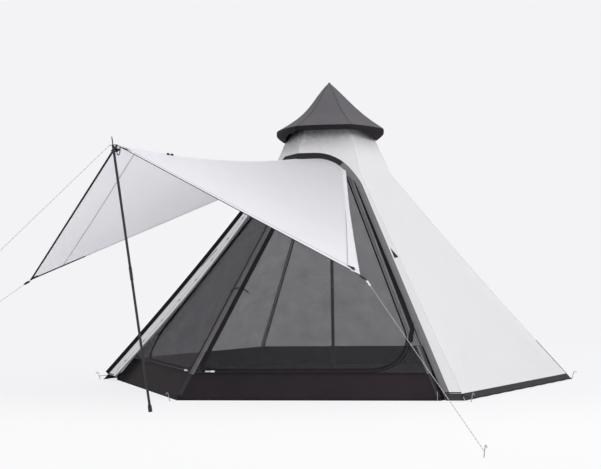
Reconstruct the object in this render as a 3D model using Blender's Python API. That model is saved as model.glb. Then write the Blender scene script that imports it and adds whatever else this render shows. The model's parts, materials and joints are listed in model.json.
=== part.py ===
"""Hexagonal pyramid tent with a meshed inner tent, a pitched front awning and a vented peak cap.

Metres, +Z up. The origin is on the ground under the centre pole. The front face looks towards -Y.
Corners are named by the compass of the plan: right is +X, left is -X, front is -Y.
"""

import math

import bmesh
import bpy
from mathutils import Matrix, Vector

# Plan of the two pyramids
FLY_CORNER_RADIUS = 1.84
INNER_CORNER_RADIUS = 1.77
FRONT_RIGHT_RADIUS = 1.87  # the guyed flap pulls the flysheet's front right corner outwards
FRONT_RIGHT_SPREAD = 4.0  # degrees that it is pulled round towards the right corner
FRONT_RIGHT_SAG = 0.0  # and it holds that ridge straight
FLY_LEFT_RADIUS = 1.88  # the left ridge is drawn out further at its foot
FLY_LEFT_SAG = 0.028

# Profile of the flysheet's ridges; drops are measured down from the centre pole's top
FLY_HEM_HEIGHT = 0.045
FLY_SHOULDER_DROP = 0.6637
FLY_SHOULDER_RADIUS = 0.485
FLY_NECK_DROP = 0.3637
FLY_NECK_RADIUS = 0.350
FLY_TOP_DROP = 0.0137
FLY_RIDGE_SAG = 0.016
FLY_PANEL_SAG = 0.018

# Cloth
CLOTH = 0.002
MESH_CLOTH = 0.0016
SEAM_GAP = 0.0003
SKIRT_CLEARANCE = 0.003

# Tub floor, inner walls and their doors
FLOOR_CLOTH = 0.003
TUB_HEIGHT = 0.165
INNER_WALL_DROP = 0.2237  # from the centre pole's top to the walls' top
INNER_PEAK_RISE = 0.080  # from the walls' top to the point where their slopes would meet
DOOR_DROP = 0.480  # from the walls' top to the doors' top
DOOR_BOTTOM_MARGIN = 0.030
DOOR_CORNER_RADIUS = 0.24
DOOR_TIGHT_RADIUS = 0.05
DOOR_HINGE_MARGIN = 0.045
FRONT_DOOR_FREE_MARGIN = 0.050
LEFT_DOOR_FREE_MARGIN = 0.190
DOOR_TAPE_WIDTH = 0.022
WALL_CORNER_SHARE = 0.12  # of each wall side, which pairs with a doorway's rounded corner
COLLAR_HEIGHT = 0.05
COLLAR_TAPER = 0.6

# Door sliders with their pull tabs
SLIDER_LENGTH = 0.030
SLIDER_WIDTH = 0.014
SLIDER_END_WIDTH = 0.010
SLIDER_THICKNESS = 0.005
SLIDER_REACH = 0.10  # from the door's side margin, along the lower run of its zip
PULL_LENGTH = 0.035
PULL_WIDTH = 0.008
PULL_ROOT_WIDTH = 0.006

# Zip arch of the flysheet's open front; the left strip hangs slack and its free edge bows inwards
ARCH_CROWN_DROP = 0.5017  # from the centre pole's top
ARCH_RISE = 0.262
ARCH_RIGHT_REACH = 0.28
ARCH_RIGHT_STRIP_FOOT = 0.080
ARCH_RIGHT_STRIP_HEAD = 0.025
ARCH_LEFT_REACH = 0.10
ARCH_LEFT_STRIP_FOOT = 0.130
ARCH_LEFT_STRIP_HEAD = 0.050
ARCH_LEFT_STRIP_BOW = 0.090
ARCH_TAPE_WIDTH = 0.045
ARCH_SIDE_STEPS = 8
ARCH_TURN_STEPS = 8
ARCH_CROWN_STEPS = 2
AWNING_ROOT_STEP = 3  # of the arch's turn, where the awning's rear edge begins
YOKE_MARGIN = 0.020

# Webbing folded over the left ridge, with a fin that stands out along it
RIDGE_WEBBING_WING = 0.012
RIDGE_WEBBING_FIN = 0.028
RIDGE_CREST_LIFT = 1.4  # times the cloth's clearance, where the webbing bends over the crest

# Centre pole
POLE_RADIUS = 0.0125
POLE_JOINT_HEIGHT = 1.12
POLE_FERRULE_LENGTH = 0.14
POLE_FOOT_HEIGHT = 0.035
POLE_FOOT_RADIUS = 0.022
POLE_FOOT_RIM = 0.4  # of the foot's height, which is straight
POLE_FOOT_COLLAR = 1.1  # times the pole's radius, at the foot's top
FINIAL_HEIGHT = 0.030
FINIAL_SWELL = 1.2
FINIAL_ROUNDING = 0.4  # of the finial's height, which tapers
FINIAL_TIP = 0.7

# Vent cap
CAP_APEX_HEIGHT = 2.352
CAP_DEPTH = 0.379
CAP_RIM_RADIUS = 0.425
CAP_WAIST_DRAW = 0.044
CAP_WAIST_LEAN = 0.018  # the waist is drawn in this much more on the left and less on the right
CAP_WAIST_POWER = 1.6  # above 1 the waist sits nearer the rim than the apex
CAP_ROUNDNESS = 0.45  # 0 keeps the cap a plain hexagon, 1 makes it round
CAP_SKIN = 0.003
CAP_TIP_RADIUS = 0.006
CAP_CROWN_DEPTH = 0.058
CAP_CROWN_RADIUS = 0.020
VALANCE_DROP = 0.038
VALANCE_SIDE_DROP = 0.055  # how much deeper it hangs at the right and left corners
VALANCE_SIDE_CURL = 0.055  # and how far its edge curls in there
VALANCE_SIDE_POWER = 6  # the higher, the closer to those corners both keep
VALANCE_BEND = 0.5  # of its depth, where it starts to curl
VALANCE_FLARE = 0.006
VALANCE_SKIN = 0.005

# Awning, where its corners are held
AWNING_TIP = Vector((-1.060, -2.362, 1.650))
AWNING_LEFT_CORNER = Vector((-2.054, -1.170, 0.816))
AWNING_RIGHT_CORNER = Vector((0.442, -2.304, 0.831))
AWNING_RIDGE_SAG = 0.050
AWNING_PANEL_SAG = 0.030
AWNING_EDGE_DRAW = 0.025

# Awning pole
AWNING_POLE_FOOT = Vector((-0.887, -2.193, 0.0))
AWNING_POLE_RADIUS = 0.0080
AWNING_POLE_JOINT = 0.87
AWNING_POLE_FERRULE = 0.09
AWNING_FOOT_LENGTH = 0.045
AWNING_FOOT_RADIUS = 0.0125
AWNING_FOOT_RIM = 0.7  # of the foot's length, which is straight
AWNING_POLE_TIP = 0.8  # times the pole's radius, at the shoulder that carries the tab
FERRULE_TAPER = 0.006
FERRULE_SWELL = 1.22
SPIKE_LENGTH = 0.055
SPIKE_RADIUS = 0.0035
SPIKE_STRAIGHT = 0.8  # of the spike's length, before its point
SPIKE_POINT = 0.35

# Webbing tabs and straps
TAB_THICKNESS = 0.0025
TAB_WIDTH = 0.036
TAB_LENGTH = 0.055
TAB_SHOULDER = 0.018
TIP_EYE_SETBACK = 0.026
STRAP_WIDTH = 0.020
STRAP_THICKNESS = 0.0025
STRAP_HEIGHT = 0.036
STRAP_REACH = 0.095
LEFT_STRAP_REACH = 0.056
CORNER_STANDOFF = 0.0017
PEG_STANDOFF = 0.0007

# Guy lines, their runner and the pegs
GUY_RADIUS = 0.0016
GUY_SEAT = 0.7  # of its radius, by which a line's cut end stands off the peg
GUY_STEPS = 12
TIP_GUY_ANCHOR = Vector((-2.912, -2.300, 0.0))
LEFT_GUY_ANCHOR = Vector((-3.331, -1.000, 0.0))
RIGHT_GUY_ANCHOR = Vector((1.151, -3.907, 0.0))
RUNNER_LENGTH = 0.060
RUNNER_WIDTH = 0.016
RUNNER_THICKNESS = 0.0065
RUNNER_END_WIDTH = 0.6  # of the full width
RUNNER_STRAIGHT = 0.7  # of the length, which keeps the full width
RUNNER_ROUNDING = 0.5  # exponent of its section: 1 is an ellipse, 0 a square
RUNNER_DISTANCE = 0.045
RUNNING_GAP = 0.0005
PEG_RADIUS = 0.0025
PEG_RISE = 0.050
PEG_LEAN = 0.014
PEG_HOOK_RADIUS = 0.010
PEG_HOOK_TURN = 190.0
PEG_HOOK_STEPS = 7
PEG_HOLD_HEIGHT = 0.030
INNER_PEG_SETBACK = 0.020

ROUND_SIDES = 16

# The centre pole carries the cap, and the flysheet, its arch and the inner tent hang from its top
FINIAL_TOP = CAP_APEX_HEIGHT - CAP_CROWN_DEPTH - SEAM_GAP
POLE_TOP_HEIGHT = FINIAL_TOP - FINIAL_HEIGHT
CAP_RIM_HEIGHT = CAP_APEX_HEIGHT - CAP_DEPTH
FLY_TOP_HEIGHT = POLE_TOP_HEIGHT - FLY_TOP_DROP
FLY_NECK_HEIGHT = POLE_TOP_HEIGHT - FLY_NECK_DROP
FLY_SHOULDER_HEIGHT = POLE_TOP_HEIGHT - FLY_SHOULDER_DROP
FLY_TOP_RADIUS = (POLE_RADIUS + 2.0 * SEAM_GAP) / math.cos(math.radians(30.0))
INNER_WALL_TOP = POLE_TOP_HEIGHT - INNER_WALL_DROP
INNER_APEX_HEIGHT = INNER_WALL_TOP + INNER_PEAK_RISE
DOOR_TOP = INNER_WALL_TOP - DOOR_DROP
ARCH_CROWN_HEIGHT = POLE_TOP_HEIGHT - ARCH_CROWN_DROP
ARCH_SPRING_HEIGHT = ARCH_CROWN_HEIGHT - ARCH_RISE

CORNERS = {
    "right": 0.0,
    "rear_right": 60.0,
    "rear_left": 120.0,
    "left": 180.0,
    "front_left": 240.0,
    "front_right": 300.0,
}
FLY_CORNERS = dict(CORNERS, front_right=CORNERS["front_right"] + FRONT_RIGHT_SPREAD)
FLY_FOOT_RADII = dict.fromkeys(CORNERS, FLY_CORNER_RADIUS)
FLY_FOOT_RADII["front_right"] = FRONT_RIGHT_RADIUS
FLY_FOOT_RADII["left"] = FLY_LEFT_RADIUS
FLY_RIDGE_SAGS = dict.fromkeys(CORNERS, FLY_RIDGE_SAG)
FLY_RIDGE_SAGS["front_right"] = FRONT_RIGHT_SAG
FLY_RIDGE_SAGS["left"] = FLY_LEFT_SAG
STRAP_REACHES = {
    "left": LEFT_STRAP_REACH,
    "front_left": STRAP_REACH,
    "front_right": STRAP_REACH,
}
ARCH_SIDES = {
    "front": (ARCH_RIGHT_STRIP_FOOT, ARCH_RIGHT_STRIP_HEAD, 0.0, ARCH_RIGHT_REACH),
    "left_front": (ARCH_LEFT_STRIP_FOOT, ARCH_LEFT_STRIP_HEAD, ARCH_LEFT_STRIP_BOW, ARCH_LEFT_REACH),
}
FACES = {
    "right_front": ("front_right", "right"),
    "right_rear": ("right", "rear_right"),
    "rear": ("rear_right", "rear_left"),
    "left_rear": ("rear_left", "left"),
    "left_front": ("left", "front_left"),
    "front": ("front_left", "front_right"),
}


def clear_scene():
    for item in list(bpy.data.objects):
        bpy.data.objects.remove(item, do_unlink=True)


def make_material(name, colour, roughness, metallic=0.0):
    material = bpy.data.materials.new(name)
    material.use_nodes = True
    shader = material.node_tree.nodes["Principled BSDF"]
    shader.inputs["Base Color"].default_value = (*colour, 1.0)
    shader.inputs["Roughness"].default_value = roughness
    shader.inputs["Metallic"].default_value = metallic
    return material


def make_materials():
    return {
        "fly": make_material("fly_cloth", (0.82, 0.82, 0.85), 0.75),
        "mesh": make_material("insect_mesh", (0.05, 0.05, 0.055), 0.85),
        "tub": make_material("tub_cloth", (0.022, 0.018, 0.020), 0.70),
        "cap": make_material("cap_cloth", (0.10, 0.10, 0.115), 0.75),
        "dark": make_material("dark_binding", (0.025, 0.022, 0.026), 0.80),
        "skirt": make_material("skirt_cloth", (0.065, 0.062, 0.066), 0.80),
        "steel": make_material("black_steel", (0.03, 0.03, 0.032), 0.35, 0.9),
        "peg": make_material("grey_steel", (0.32, 0.32, 0.34), 0.40, 0.9),
        "plastic": make_material("pale_plastic", (0.75, 0.75, 0.76), 0.45),
        "rubber": make_material("black_rubber", (0.02, 0.02, 0.02), 0.90),
        "cord": make_material("guy_cord", (0.45, 0.45, 0.47), 0.85),
    }


def add_object(name, mesh, material, parent=None):
    item = bpy.data.objects.new(name, mesh)
    bpy.context.collection.objects.link(item)
    item.data.materials.append(material)
    if parent is not None:
        item.parent = parent
    return item


def mesh_from(name, points, faces):
    mesh = bpy.data.meshes.new(name)
    mesh.from_pydata([tuple(point) for point in points], [], faces)
    shape = bmesh.new()
    shape.from_mesh(mesh)
    bmesh.ops.recalc_face_normals(shape, faces=shape.faces)
    shape.to_mesh(mesh)
    shape.free()
    return mesh


def sheet_mesh(name, grid, thickness, outward):
    """Closed sheet on a grid of points, thickened along one outward direction.

    Both sides of a cell share one diagonal, so a bent cell keeps its thickness.
    """
    rows = len(grid)
    columns = len(grid[0])
    lift = outward.normalized() * thickness
    lower = [point for row in grid for point in row]
    points = lower + [point + lift for point in lower]
    top = rows * columns
    faces = []
    for row in range(rows - 1):
        for column in range(columns - 1):
            a = row * columns + column
            b = a + 1
            c = b + columns
            d = a + columns
            for half in ((a, b, c), (a, c, d)):
                faces.append(half)
                faces.append(tuple(top + corner for corner in reversed(half)))
    rim = [column for column in range(columns)]
    rim += [row * columns + columns - 1 for row in range(1, rows)]
    rim += [(rows - 1) * columns + column for column in range(columns - 2, -1, -1)]
    rim += [row * columns for row in range(rows - 2, 0, -1)]
    for start, end in zip(rim, rim[1:] + rim[:1]):
        faces.append((start, end, top + end, top + start))
    return mesh_from(name, points, faces)


def plate_mesh(name, outline, thickness, frame, holes_outline=None):
    """Flat plate in a frame's XY plane; with a second outline of as many points it is a ring."""
    lift = Vector((0.0, 0.0, thickness))
    outer = [Vector((x, y, 0.0)) for x, y in outline]
    count = len(outer)
    if holes_outline is None:
        points = outer + [point + lift for point in outer]
        faces = [tuple(range(count)), tuple(range(2 * count - 1, count - 1, -1))]
        for index in range(count):
            after = (index + 1) % count
            faces.append((index, after, count + after, count + index))
    else:
        inner = [Vector((x, y, 0.0)) for x, y in holes_outline]
        points = outer + inner + [point + lift for point in outer + inner]
        faces = []
        for index in range(count):
            after = (index + 1) % count
            a, b = index, after
            c, d = count + after, count + index
            faces.append((a, b, c, d))
            faces.append((2 * count + d, 2 * count + c, 2 * count + b, 2 * count + a))
            faces.append((a, b, 2 * count + b, 2 * count + a))
            faces.append((d, c, 2 * count + c, 2 * count + d))
    return mesh_from(name, [frame @ point for point in points], faces)


def rings_mesh(name, rings, closed=False):
    """Loft through rings of equal count; the ends are capped unless the loft closes on itself."""
    count = len(rings[0])
    points = [point for ring in rings for point in ring]
    faces = []
    spans = len(rings) if closed else len(rings) - 1
    for level in range(spans):
        base = level * count
        above = ((level + 1) % len(rings)) * count
        for index in range(count):
            after = (index + 1) % count
            faces.append((base + index, base + after, above + after, above + index))
    if not closed:
        faces.append(tuple(range(count - 1, -1, -1)))
        last = (len(rings) - 1) * count
        faces.append(tuple(range(last, last + count)))
    return mesh_from(name, points, faces)


def smooth(item, angle=35.0):
    item.data.shade_smooth()
    item.data.set_sharp_from_angle(angle=math.radians(angle))
    return item


def polar(radius, azimuth, height):
    angle = math.radians(azimuth)
    return Vector((radius * math.cos(angle), radius * math.sin(angle), height))


def spaced(start, end, steps):
    return [start + (end - start) * index / steps for index in range(steps + 1)]


def rod_rings(start, end, profile, sides=ROUND_SIDES):
    """Rings for a turned rod: profile pairs hold the distance from the start and the radius."""
    axis = (end - start).normalized()
    across = axis.cross(Vector((0.0, 1.0, 0.0))).normalized()
    other = axis.cross(across)
    rings = []
    for along, radius in profile:
        ring = []
        for index in range(sides):
            turn = 2.0 * math.pi * index / sides
            ring.append(start + axis * along + (across * math.cos(turn) + other * math.sin(turn)) * radius)
        rings.append(ring)
    return rings


def fly_radius(corner, height):
    """Corner radius of the flysheet's ridges: a long slope, a steeper neck, then in to the pole."""
    if height <= FLY_SHOULDER_HEIGHT:
        share = height / FLY_SHOULDER_HEIGHT
        foot = FLY_FOOT_RADII[corner]
        straight = foot + (FLY_SHOULDER_RADIUS - foot) * share
        return straight - FLY_RIDGE_SAGS[corner] * math.sin(math.pi * share)
    if height <= FLY_NECK_HEIGHT:
        share = (height - FLY_SHOULDER_HEIGHT) / (FLY_NECK_HEIGHT - FLY_SHOULDER_HEIGHT)
        return FLY_SHOULDER_RADIUS + (FLY_NECK_RADIUS - FLY_SHOULDER_RADIUS) * share
    share = (height - FLY_NECK_HEIGHT) / (FLY_TOP_HEIGHT - FLY_NECK_HEIGHT)
    return FLY_NECK_RADIUS + (FLY_TOP_RADIUS - FLY_NECK_RADIUS) * share


def fly_ridge(corner, height):
    return polar(fly_radius(corner, height), FLY_CORNERS[corner], height)


def inner_radius(height):
    return INNER_CORNER_RADIUS * (1.0 - height / INNER_APEX_HEIGHT)


class FlyFace:
    """One face of the flysheet, addressed by a share across from its first corner and a height."""

    def __init__(self, name):
        self.first, self.second = FACES[name]
        foot = fly_ridge(self.first, 0.0)
        across = fly_ridge(self.second, 0.0) - foot
        slope = fly_ridge(self.first, FLY_SHOULDER_HEIGHT) - foot
        self.outward = across.cross(slope).normalized()

    def width(self, height):
        return (fly_ridge(self.second, height) - fly_ridge(self.first, height)).length

    def point(self, share, height, sag=0.0):
        first = fly_ridge(self.first, height)
        second = fly_ridge(self.second, height)
        across = (second - first).normalized() * SEAM_GAP
        start = first + across
        end = second - across
        drop = sag * 4.0 * share * (1.0 - share) * self.bow(height)
        return start.lerp(end, share) - self.outward * drop

    def bow(self, height):
        """The sag fades to nothing at the hem and at the shoulder, where the cloth is held."""
        if height >= FLY_SHOULDER_HEIGHT:
            return 0.0
        return math.sin(math.pi * height / FLY_SHOULDER_HEIGHT)


class InnerFace:
    """Flat face of the inner tent with a frame: X along the base, Y up the slope, Z outwards."""

    def __init__(self, name):
        first, second = FACES[name]
        left = polar(INNER_CORNER_RADIUS, CORNERS[first], 0.0)
        right = polar(INNER_CORNER_RADIUS, CORNERS[second], 0.0)
        middle = (left + right) / 2.0
        apex = Vector((0.0, 0.0, INNER_APEX_HEIGHT))
        along = (right - left).normalized()
        slope = (apex - middle).normalized()
        outward = along.cross(slope)
        self.half_base = (right - left).length / 2.0
        self.slant = (apex - middle).length
        columns = (along, slope, outward)
        self.frame = Matrix([[column[row] for column in columns] for row in range(3)]).to_4x4()
        self.frame.translation = middle

    def half(self, up):
        return self.half_base * (1.0 - up / self.slant)

    def up(self, height):
        return self.slant * height / INNER_APEX_HEIGHT


def round_corner(before, corner, after, radius, steps=8):
    """Arc that rounds a corner of a 2-D outline."""
    corner = Vector(corner)
    back = (Vector(before) - corner).normalized()
    ahead = (Vector(after) - corner).normalized()
    half = back.angle(ahead) / 2.0
    reach = radius / math.tan(half)
    middle = corner + (back + ahead).normalized() * radius / math.sin(half)
    start = corner + back * reach - middle
    turn = start.angle_signed(corner + ahead * reach - middle)
    points = []
    for step in range(steps + 1):
        angle = -turn * step / steps
        x = start.x * math.cos(angle) - start.y * math.sin(angle)
        y = start.x * math.sin(angle) + start.y * math.cos(angle)
        points.append((middle.x + x, middle.y + y))
    return points


def door_outline(face, first_margin, second_margin, bottom, top, radii):
    """Rounded trapezoid inside a face: margins lie across its two ridges."""
    lean = math.atan2(face.half_base, face.slant)
    first_inset = first_margin / math.cos(lean)
    second_inset = second_margin / math.cos(lean)
    corners = [
        (-face.half(bottom) + first_inset, bottom),
        (face.half(bottom) - second_inset, bottom),
        (face.half(top) - second_inset, top),
        (-face.half(top) + first_inset, top),
    ]
    outline = []
    for index, radius in enumerate(radii):
        before = corners[index - 1]
        after = corners[(index + 1) % 4]
        outline += round_corner(before, corners[index], after, radius)
    return outline


def make_tub(materials):
    def ring(height, inset):
        return [polar(inner_radius(height) - inset, azimuth, height) for azimuth in CORNERS.values()]

    wall = CLOTH / math.cos(math.radians(30.0)) / math.cos(math.atan2(INNER_CORNER_RADIUS, INNER_APEX_HEIGHT))
    rings = [ring(0.0, 0.0), ring(TUB_HEIGHT, 0.0), ring(TUB_HEIGHT, wall), ring(FLOOR_CLOTH, wall)]
    add_object("tub_floor", rings_mesh("tub_floor", rings), materials["tub"])


def wall_outline(face):
    bottom = face.up(TUB_HEIGHT + SEAM_GAP)
    top = face.up(INNER_WALL_TOP)
    inset = SEAM_GAP
    return [
        (-face.half(bottom) + inset, bottom),
        (face.half(bottom) - inset, bottom),
        (face.half(top) - inset, top),
        (-face.half(top) + inset, top),
    ]


def make_plain_walls(materials):
    for name in ("right_front", "right_rear", "rear", "left_rear"):
        face = InnerFace(name)
        mesh = plate_mesh("inner_wall_" + name, wall_outline(face), MESH_CLOTH, face.frame)
        add_object("inner_wall_" + name, mesh, materials["mesh"])


def match_outline(outline, corners):
    """Spread a four-cornered outline's points so that it pairs with a rounded one point by point."""
    count = len(outline) // 4
    spread = []
    for index in range(4):
        corner = Vector(corners[index])
        before = corner.lerp(Vector(corners[index - 1]), WALL_CORNER_SHARE)
        after = corner.lerp(Vector(corners[(index + 1) % 4]), WALL_CORNER_SHARE)
        for step in range(count):
            share = step / (count - 1)
            if share < 0.5:
                spread.append(tuple(before.lerp(corner, share * 2.0)))
            else:
                spread.append(tuple(corner.lerp(after, share * 2.0 - 1.0)))
    return spread


def door_margins(name):
    if name == "front":
        return DOOR_HINGE_MARGIN, FRONT_DOOR_FREE_MARGIN
    return LEFT_DOOR_FREE_MARGIN, DOOR_HINGE_MARGIN


def make_door_set(name, materials):
    """Wall with its doorway, the zip tape round it, the hinged mesh door and its seam tape."""
    face = InnerFace(name)
    first, second = door_margins(name)
    bottom = face.up(TUB_HEIGHT) + DOOR_BOTTOM_MARGIN
    top = face.up(DOOR_TOP)
    radii = [DOOR_TIGHT_RADIUS] * 4
    radii[1 if name == "front" else 0] = DOOR_CORNER_RADIUS

    def outline(grow):
        grown = [radius + grow for radius in radii]
        return door_outline(face, first - grow, second - grow, bottom - grow, top + grow, grown)

    doorway = outline(DOOR_TAPE_WIDTH)
    wall = plate_mesh(
        "inner_wall_" + name,
        match_outline(doorway, wall_outline(face)),
        MESH_CLOTH,
        face.frame,
        doorway,
    )
    add_object("inner_wall_" + name, wall, materials["mesh"])

    tape = plate_mesh(
        name + "_door_zip_tape",
        outline(DOOR_TAPE_WIDTH - SEAM_GAP),
        CLOTH,
        face.frame,
        outline(SEAM_GAP),
    )
    add_object(name + "_door_zip_tape", tape, materials["dark"])

    leaf = plate_mesh(name + "_door", outline(0.0), MESH_CLOTH, face.frame)
    hinge = door_hinge(name)
    empty = bpy.data.objects.new(name + "_door_hinge", None)
    empty.location = hinge[0]
    bpy.context.collection.objects.link(empty)
    leaf.transform(Matrix.Translation(-hinge[0]))
    add_object(name + "_door", leaf, materials["mesh"], empty)


def door_hinge(name):
    """Foot and direction of the seam that a mesh door turns on, at the tape's outer surface."""
    face = InnerFace(name)
    lean = math.atan2(face.half_base, face.slant)
    inset = DOOR_HINGE_MARGIN / math.cos(lean)
    bottom = face.up(TUB_HEIGHT) + DOOR_BOTTOM_MARGIN
    top = face.up(DOOR_TOP)
    side = -1.0 if name == "front" else 1.0
    foot = face.frame @ Vector((side * (face.half(bottom) - inset), bottom, CLOTH))
    head = face.frame @ Vector((side * (face.half(top) - inset), top, CLOTH))
    return foot, (head - foot).normalized()


def make_door_slider(name, materials):
    """Zip slider with its pull tab, on the straight lower run of the door's zip tape."""
    face = InnerFace(name)
    first, second = door_margins(name)
    bottom = face.up(TUB_HEIGHT) + DOOR_BOTTOM_MARGIN - DOOR_TAPE_WIDTH / 2.0
    if name == "front":
        place = -face.half(bottom) + first + SLIDER_REACH
        toward = -1.0
    else:
        place = face.half(bottom) - second - SLIDER_REACH
        toward = 1.0
    half = SLIDER_LENGTH / 2.0
    profile = [
        (-half, SLIDER_END_WIDTH),
        (0.0, SLIDER_WIDTH),
        (half, SLIDER_END_WIDTH),
        (half, PULL_ROOT_WIDTH),
        (half + PULL_LENGTH, PULL_WIDTH),
    ]
    outline = [(toward * along, -width / 2.0) for along, width in profile]
    outline += [(toward * along, width / 2.0) for along, width in reversed(profile)]
    frame = face.frame @ Matrix.Translation((place, bottom, CLOTH + SEAM_GAP))
    mesh = plate_mesh(name + "_door_slider", outline, SLIDER_THICKNESS, frame)
    add_object(name + "_door_slider", mesh, materials["plastic"])


def make_inner_peak(materials):
    """Collar that gathers the inner walls and hangs them on the pole."""
    base = INNER_WALL_TOP + SEAM_GAP
    crown = INNER_WALL_TOP + COLLAR_HEIGHT
    bore = POLE_RADIUS + SEAM_GAP

    def ring(radius, height):
        return [polar(radius, azimuth, height) for azimuth in range(0, 360, 20)]

    outer = inner_radius(base) * math.cos(math.radians(30.0))
    rings = [
        ring(bore, base),
        ring(outer, base),
        ring(outer * COLLAR_TAPER, crown),
        ring(bore, crown),
    ]
    add_object("inner_peak_collar", rings_mesh("inner_peak_collar", rings, closed=True), materials["dark"])


def make_fly_panels(materials):
    for name in ("right_front", "right_rear", "rear", "left_rear"):
        face = FlyFace(name)
        heights = spaced(FLY_HEM_HEIGHT, FLY_SHOULDER_HEIGHT, 8)
        heights += [FLY_NECK_HEIGHT, FLY_TOP_HEIGHT]
        grid = []
        for height in heights:
            grid.append([face.point(share, height, FLY_PANEL_SAG) for share in spaced(0.0, 1.0, 6)])
        mesh = sheet_mesh("fly_" + name, grid, CLOTH, face.outward)
        smooth(add_object("fly_" + name, mesh, materials["fly"]))


def make_skirts(materials):
    for name in ("right_front", "right_rear", "rear", "left_rear"):
        face = FlyFace(name)
        grid = []
        for height in (SKIRT_CLEARANCE, FLY_HEM_HEIGHT - SEAM_GAP):
            grid.append([face.point(share, height) for share in spaced(0.0, 1.0, 2)])
        mesh = sheet_mesh("skirt_" + name, grid, CLOTH, face.outward)
        add_object("skirt_" + name, mesh, materials["skirt"])


class Arch:
    """Half of the zip arch on one front face, in distance from the outer ridge and height."""

    def __init__(self, name):
        self.face = FlyFace(name)
        self.foot, self.head, self.bow, self.reach = ARCH_SIDES[name]
        self.mirrored = name == "front"

    def strip(self, height):
        """Width of the cloth left between the ridge and the zip."""
        share = height / ARCH_SPRING_HEIGHT
        return self.foot + (self.head - self.foot) * share + self.bow * math.sin(math.pi * share)

    def share(self, distance, height):
        share = distance / self.face.width(height)
        return 1.0 - share if self.mirrored else share

    def curve(self, inward):
        """Points of the arch, moved inwards into the opening by a width."""
        sides = spaced(FLY_HEM_HEIGHT, ARCH_SPRING_HEIGHT, ARCH_SIDE_STEPS)
        points = [(self.strip(height) + inward, height) for height in sides]
        for share in spaced(0.0, 1.0, ARCH_TURN_STEPS)[1:]:
            angle = math.radians(90.0) * share
            distance = self.head + self.reach - (self.reach - inward) * math.cos(angle)
            points.append((distance, ARCH_SPRING_HEIGHT + (ARCH_RISE - inward) * math.sin(angle)))
        turned, crown = points[-1]
        for distance in spaced(turned, self.face.width(crown), ARCH_CROWN_STEPS)[1:]:
            points.append((distance, crown))
        return points

    def place(self, distance, height):
        return self.face.point(self.share(distance, height), height)


def make_arch_side(name, materials):
    """Edge strip, yoke over the opening and zip tape of one front face."""
    arch = Arch(name)
    face = arch.face
    grid = []
    for height in spaced(FLY_HEM_HEIGHT, ARCH_SPRING_HEIGHT - SEAM_GAP, 8):
        grid.append([arch.place(distance, height) for distance in spaced(0.0, arch.strip(height), 2)])
    mesh = sheet_mesh("fly_" + name + "_strip", grid, CLOTH, face.outward)
    smooth(add_object("fly_" + name + "_strip", mesh, materials["fly"]))

    lower = [(distance, ARCH_SPRING_HEIGHT) for distance in (0.0, arch.head / 2.0)]
    lower += arch.curve(0.0)[ARCH_SIDE_STEPS:]
    shares = [arch.share(distance, height) for distance, height in lower]
    level_line = ARCH_CROWN_HEIGHT + YOKE_MARGIN
    to_shoulder = (FLY_SHOULDER_HEIGHT - ARCH_SPRING_HEIGHT) / (level_line - ARCH_SPRING_HEIGHT)
    grid = []
    for rise in (0.0, to_shoulder, 1.0):
        row = []
        for (_, height), share in zip(lower, shares):
            row.append(face.point(share, height + (level_line - height) * rise))
        grid.append(row)
    for height in (FLY_NECK_HEIGHT, FLY_TOP_HEIGHT):
        grid.append([face.point(share, height) for share in shares])
    mesh = sheet_mesh("fly_" + name + "_yoke", grid, CLOTH, face.outward)
    smooth(add_object("fly_" + name + "_yoke", mesh, materials["fly"]))

    grid = []
    for inward in (SEAM_GAP, ARCH_TAPE_WIDTH):
        grid.append([arch.place(distance, height) for distance, height in arch.curve(inward)])
    mesh = sheet_mesh("fly_" + name + "_zip", grid, CLOTH, face.outward)
    add_object("fly_" + name + "_zip", mesh, materials["dark"])


def make_ridge_webbing(materials):
    """Webbing along the flysheet's left ridge: two short wings on the cloth and a fin between them."""
    rear = FlyFace("left_rear")
    front = FlyFace("left_front")
    outward = (rear.outward + front.outward).normalized()
    fold = (front.outward - rear.outward).normalized() * STRAP_THICKNESS / 2.0
    clear = CLOTH + SEAM_GAP
    rings = []
    for height in spaced(FLY_HEM_HEIGHT, FLY_SHOULDER_HEIGHT, 8):
        share_rear = 1.0 - RIDGE_WEBBING_WING / rear.width(height)
        share_front = RIDGE_WEBBING_WING / front.width(height)
        crest = fly_ridge("left", height) + outward * clear * RIDGE_CREST_LIFT
        root = crest + outward * STRAP_THICKNESS
        edge = crest + outward * RIDGE_WEBBING_FIN
        back = rear.point(share_rear, height) + rear.outward * clear
        fore = front.point(share_front, height) + front.outward * clear
        rings.append([
            back,
            crest,
            fore,
            fore + front.outward * STRAP_THICKNESS,
            root + fold,
            edge + fold,
            edge - fold,
            root - fold,
            back + rear.outward * STRAP_THICKNESS,
        ])
    add_object("fly_left_ridge_webbing", rings_mesh("fly_left_ridge_webbing", rings), materials["dark"])


def cap_waist(height):
    """0 at the cap's apex and rim, 1 at the waist between them."""
    share = min(1.0, (CAP_APEX_HEIGHT - height) / CAP_DEPTH)
    return math.sin(math.pi * share ** CAP_WAIST_POWER)


def cap_radius(height, skin=0.0):
    """Corner radius of the cap: a cone drawn in at its waist and flared at the rim."""
    share = (CAP_APEX_HEIGHT - height) / CAP_DEPTH
    return CAP_RIM_RADIUS * share - CAP_WAIST_DRAW * cap_waist(height) - skin


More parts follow.
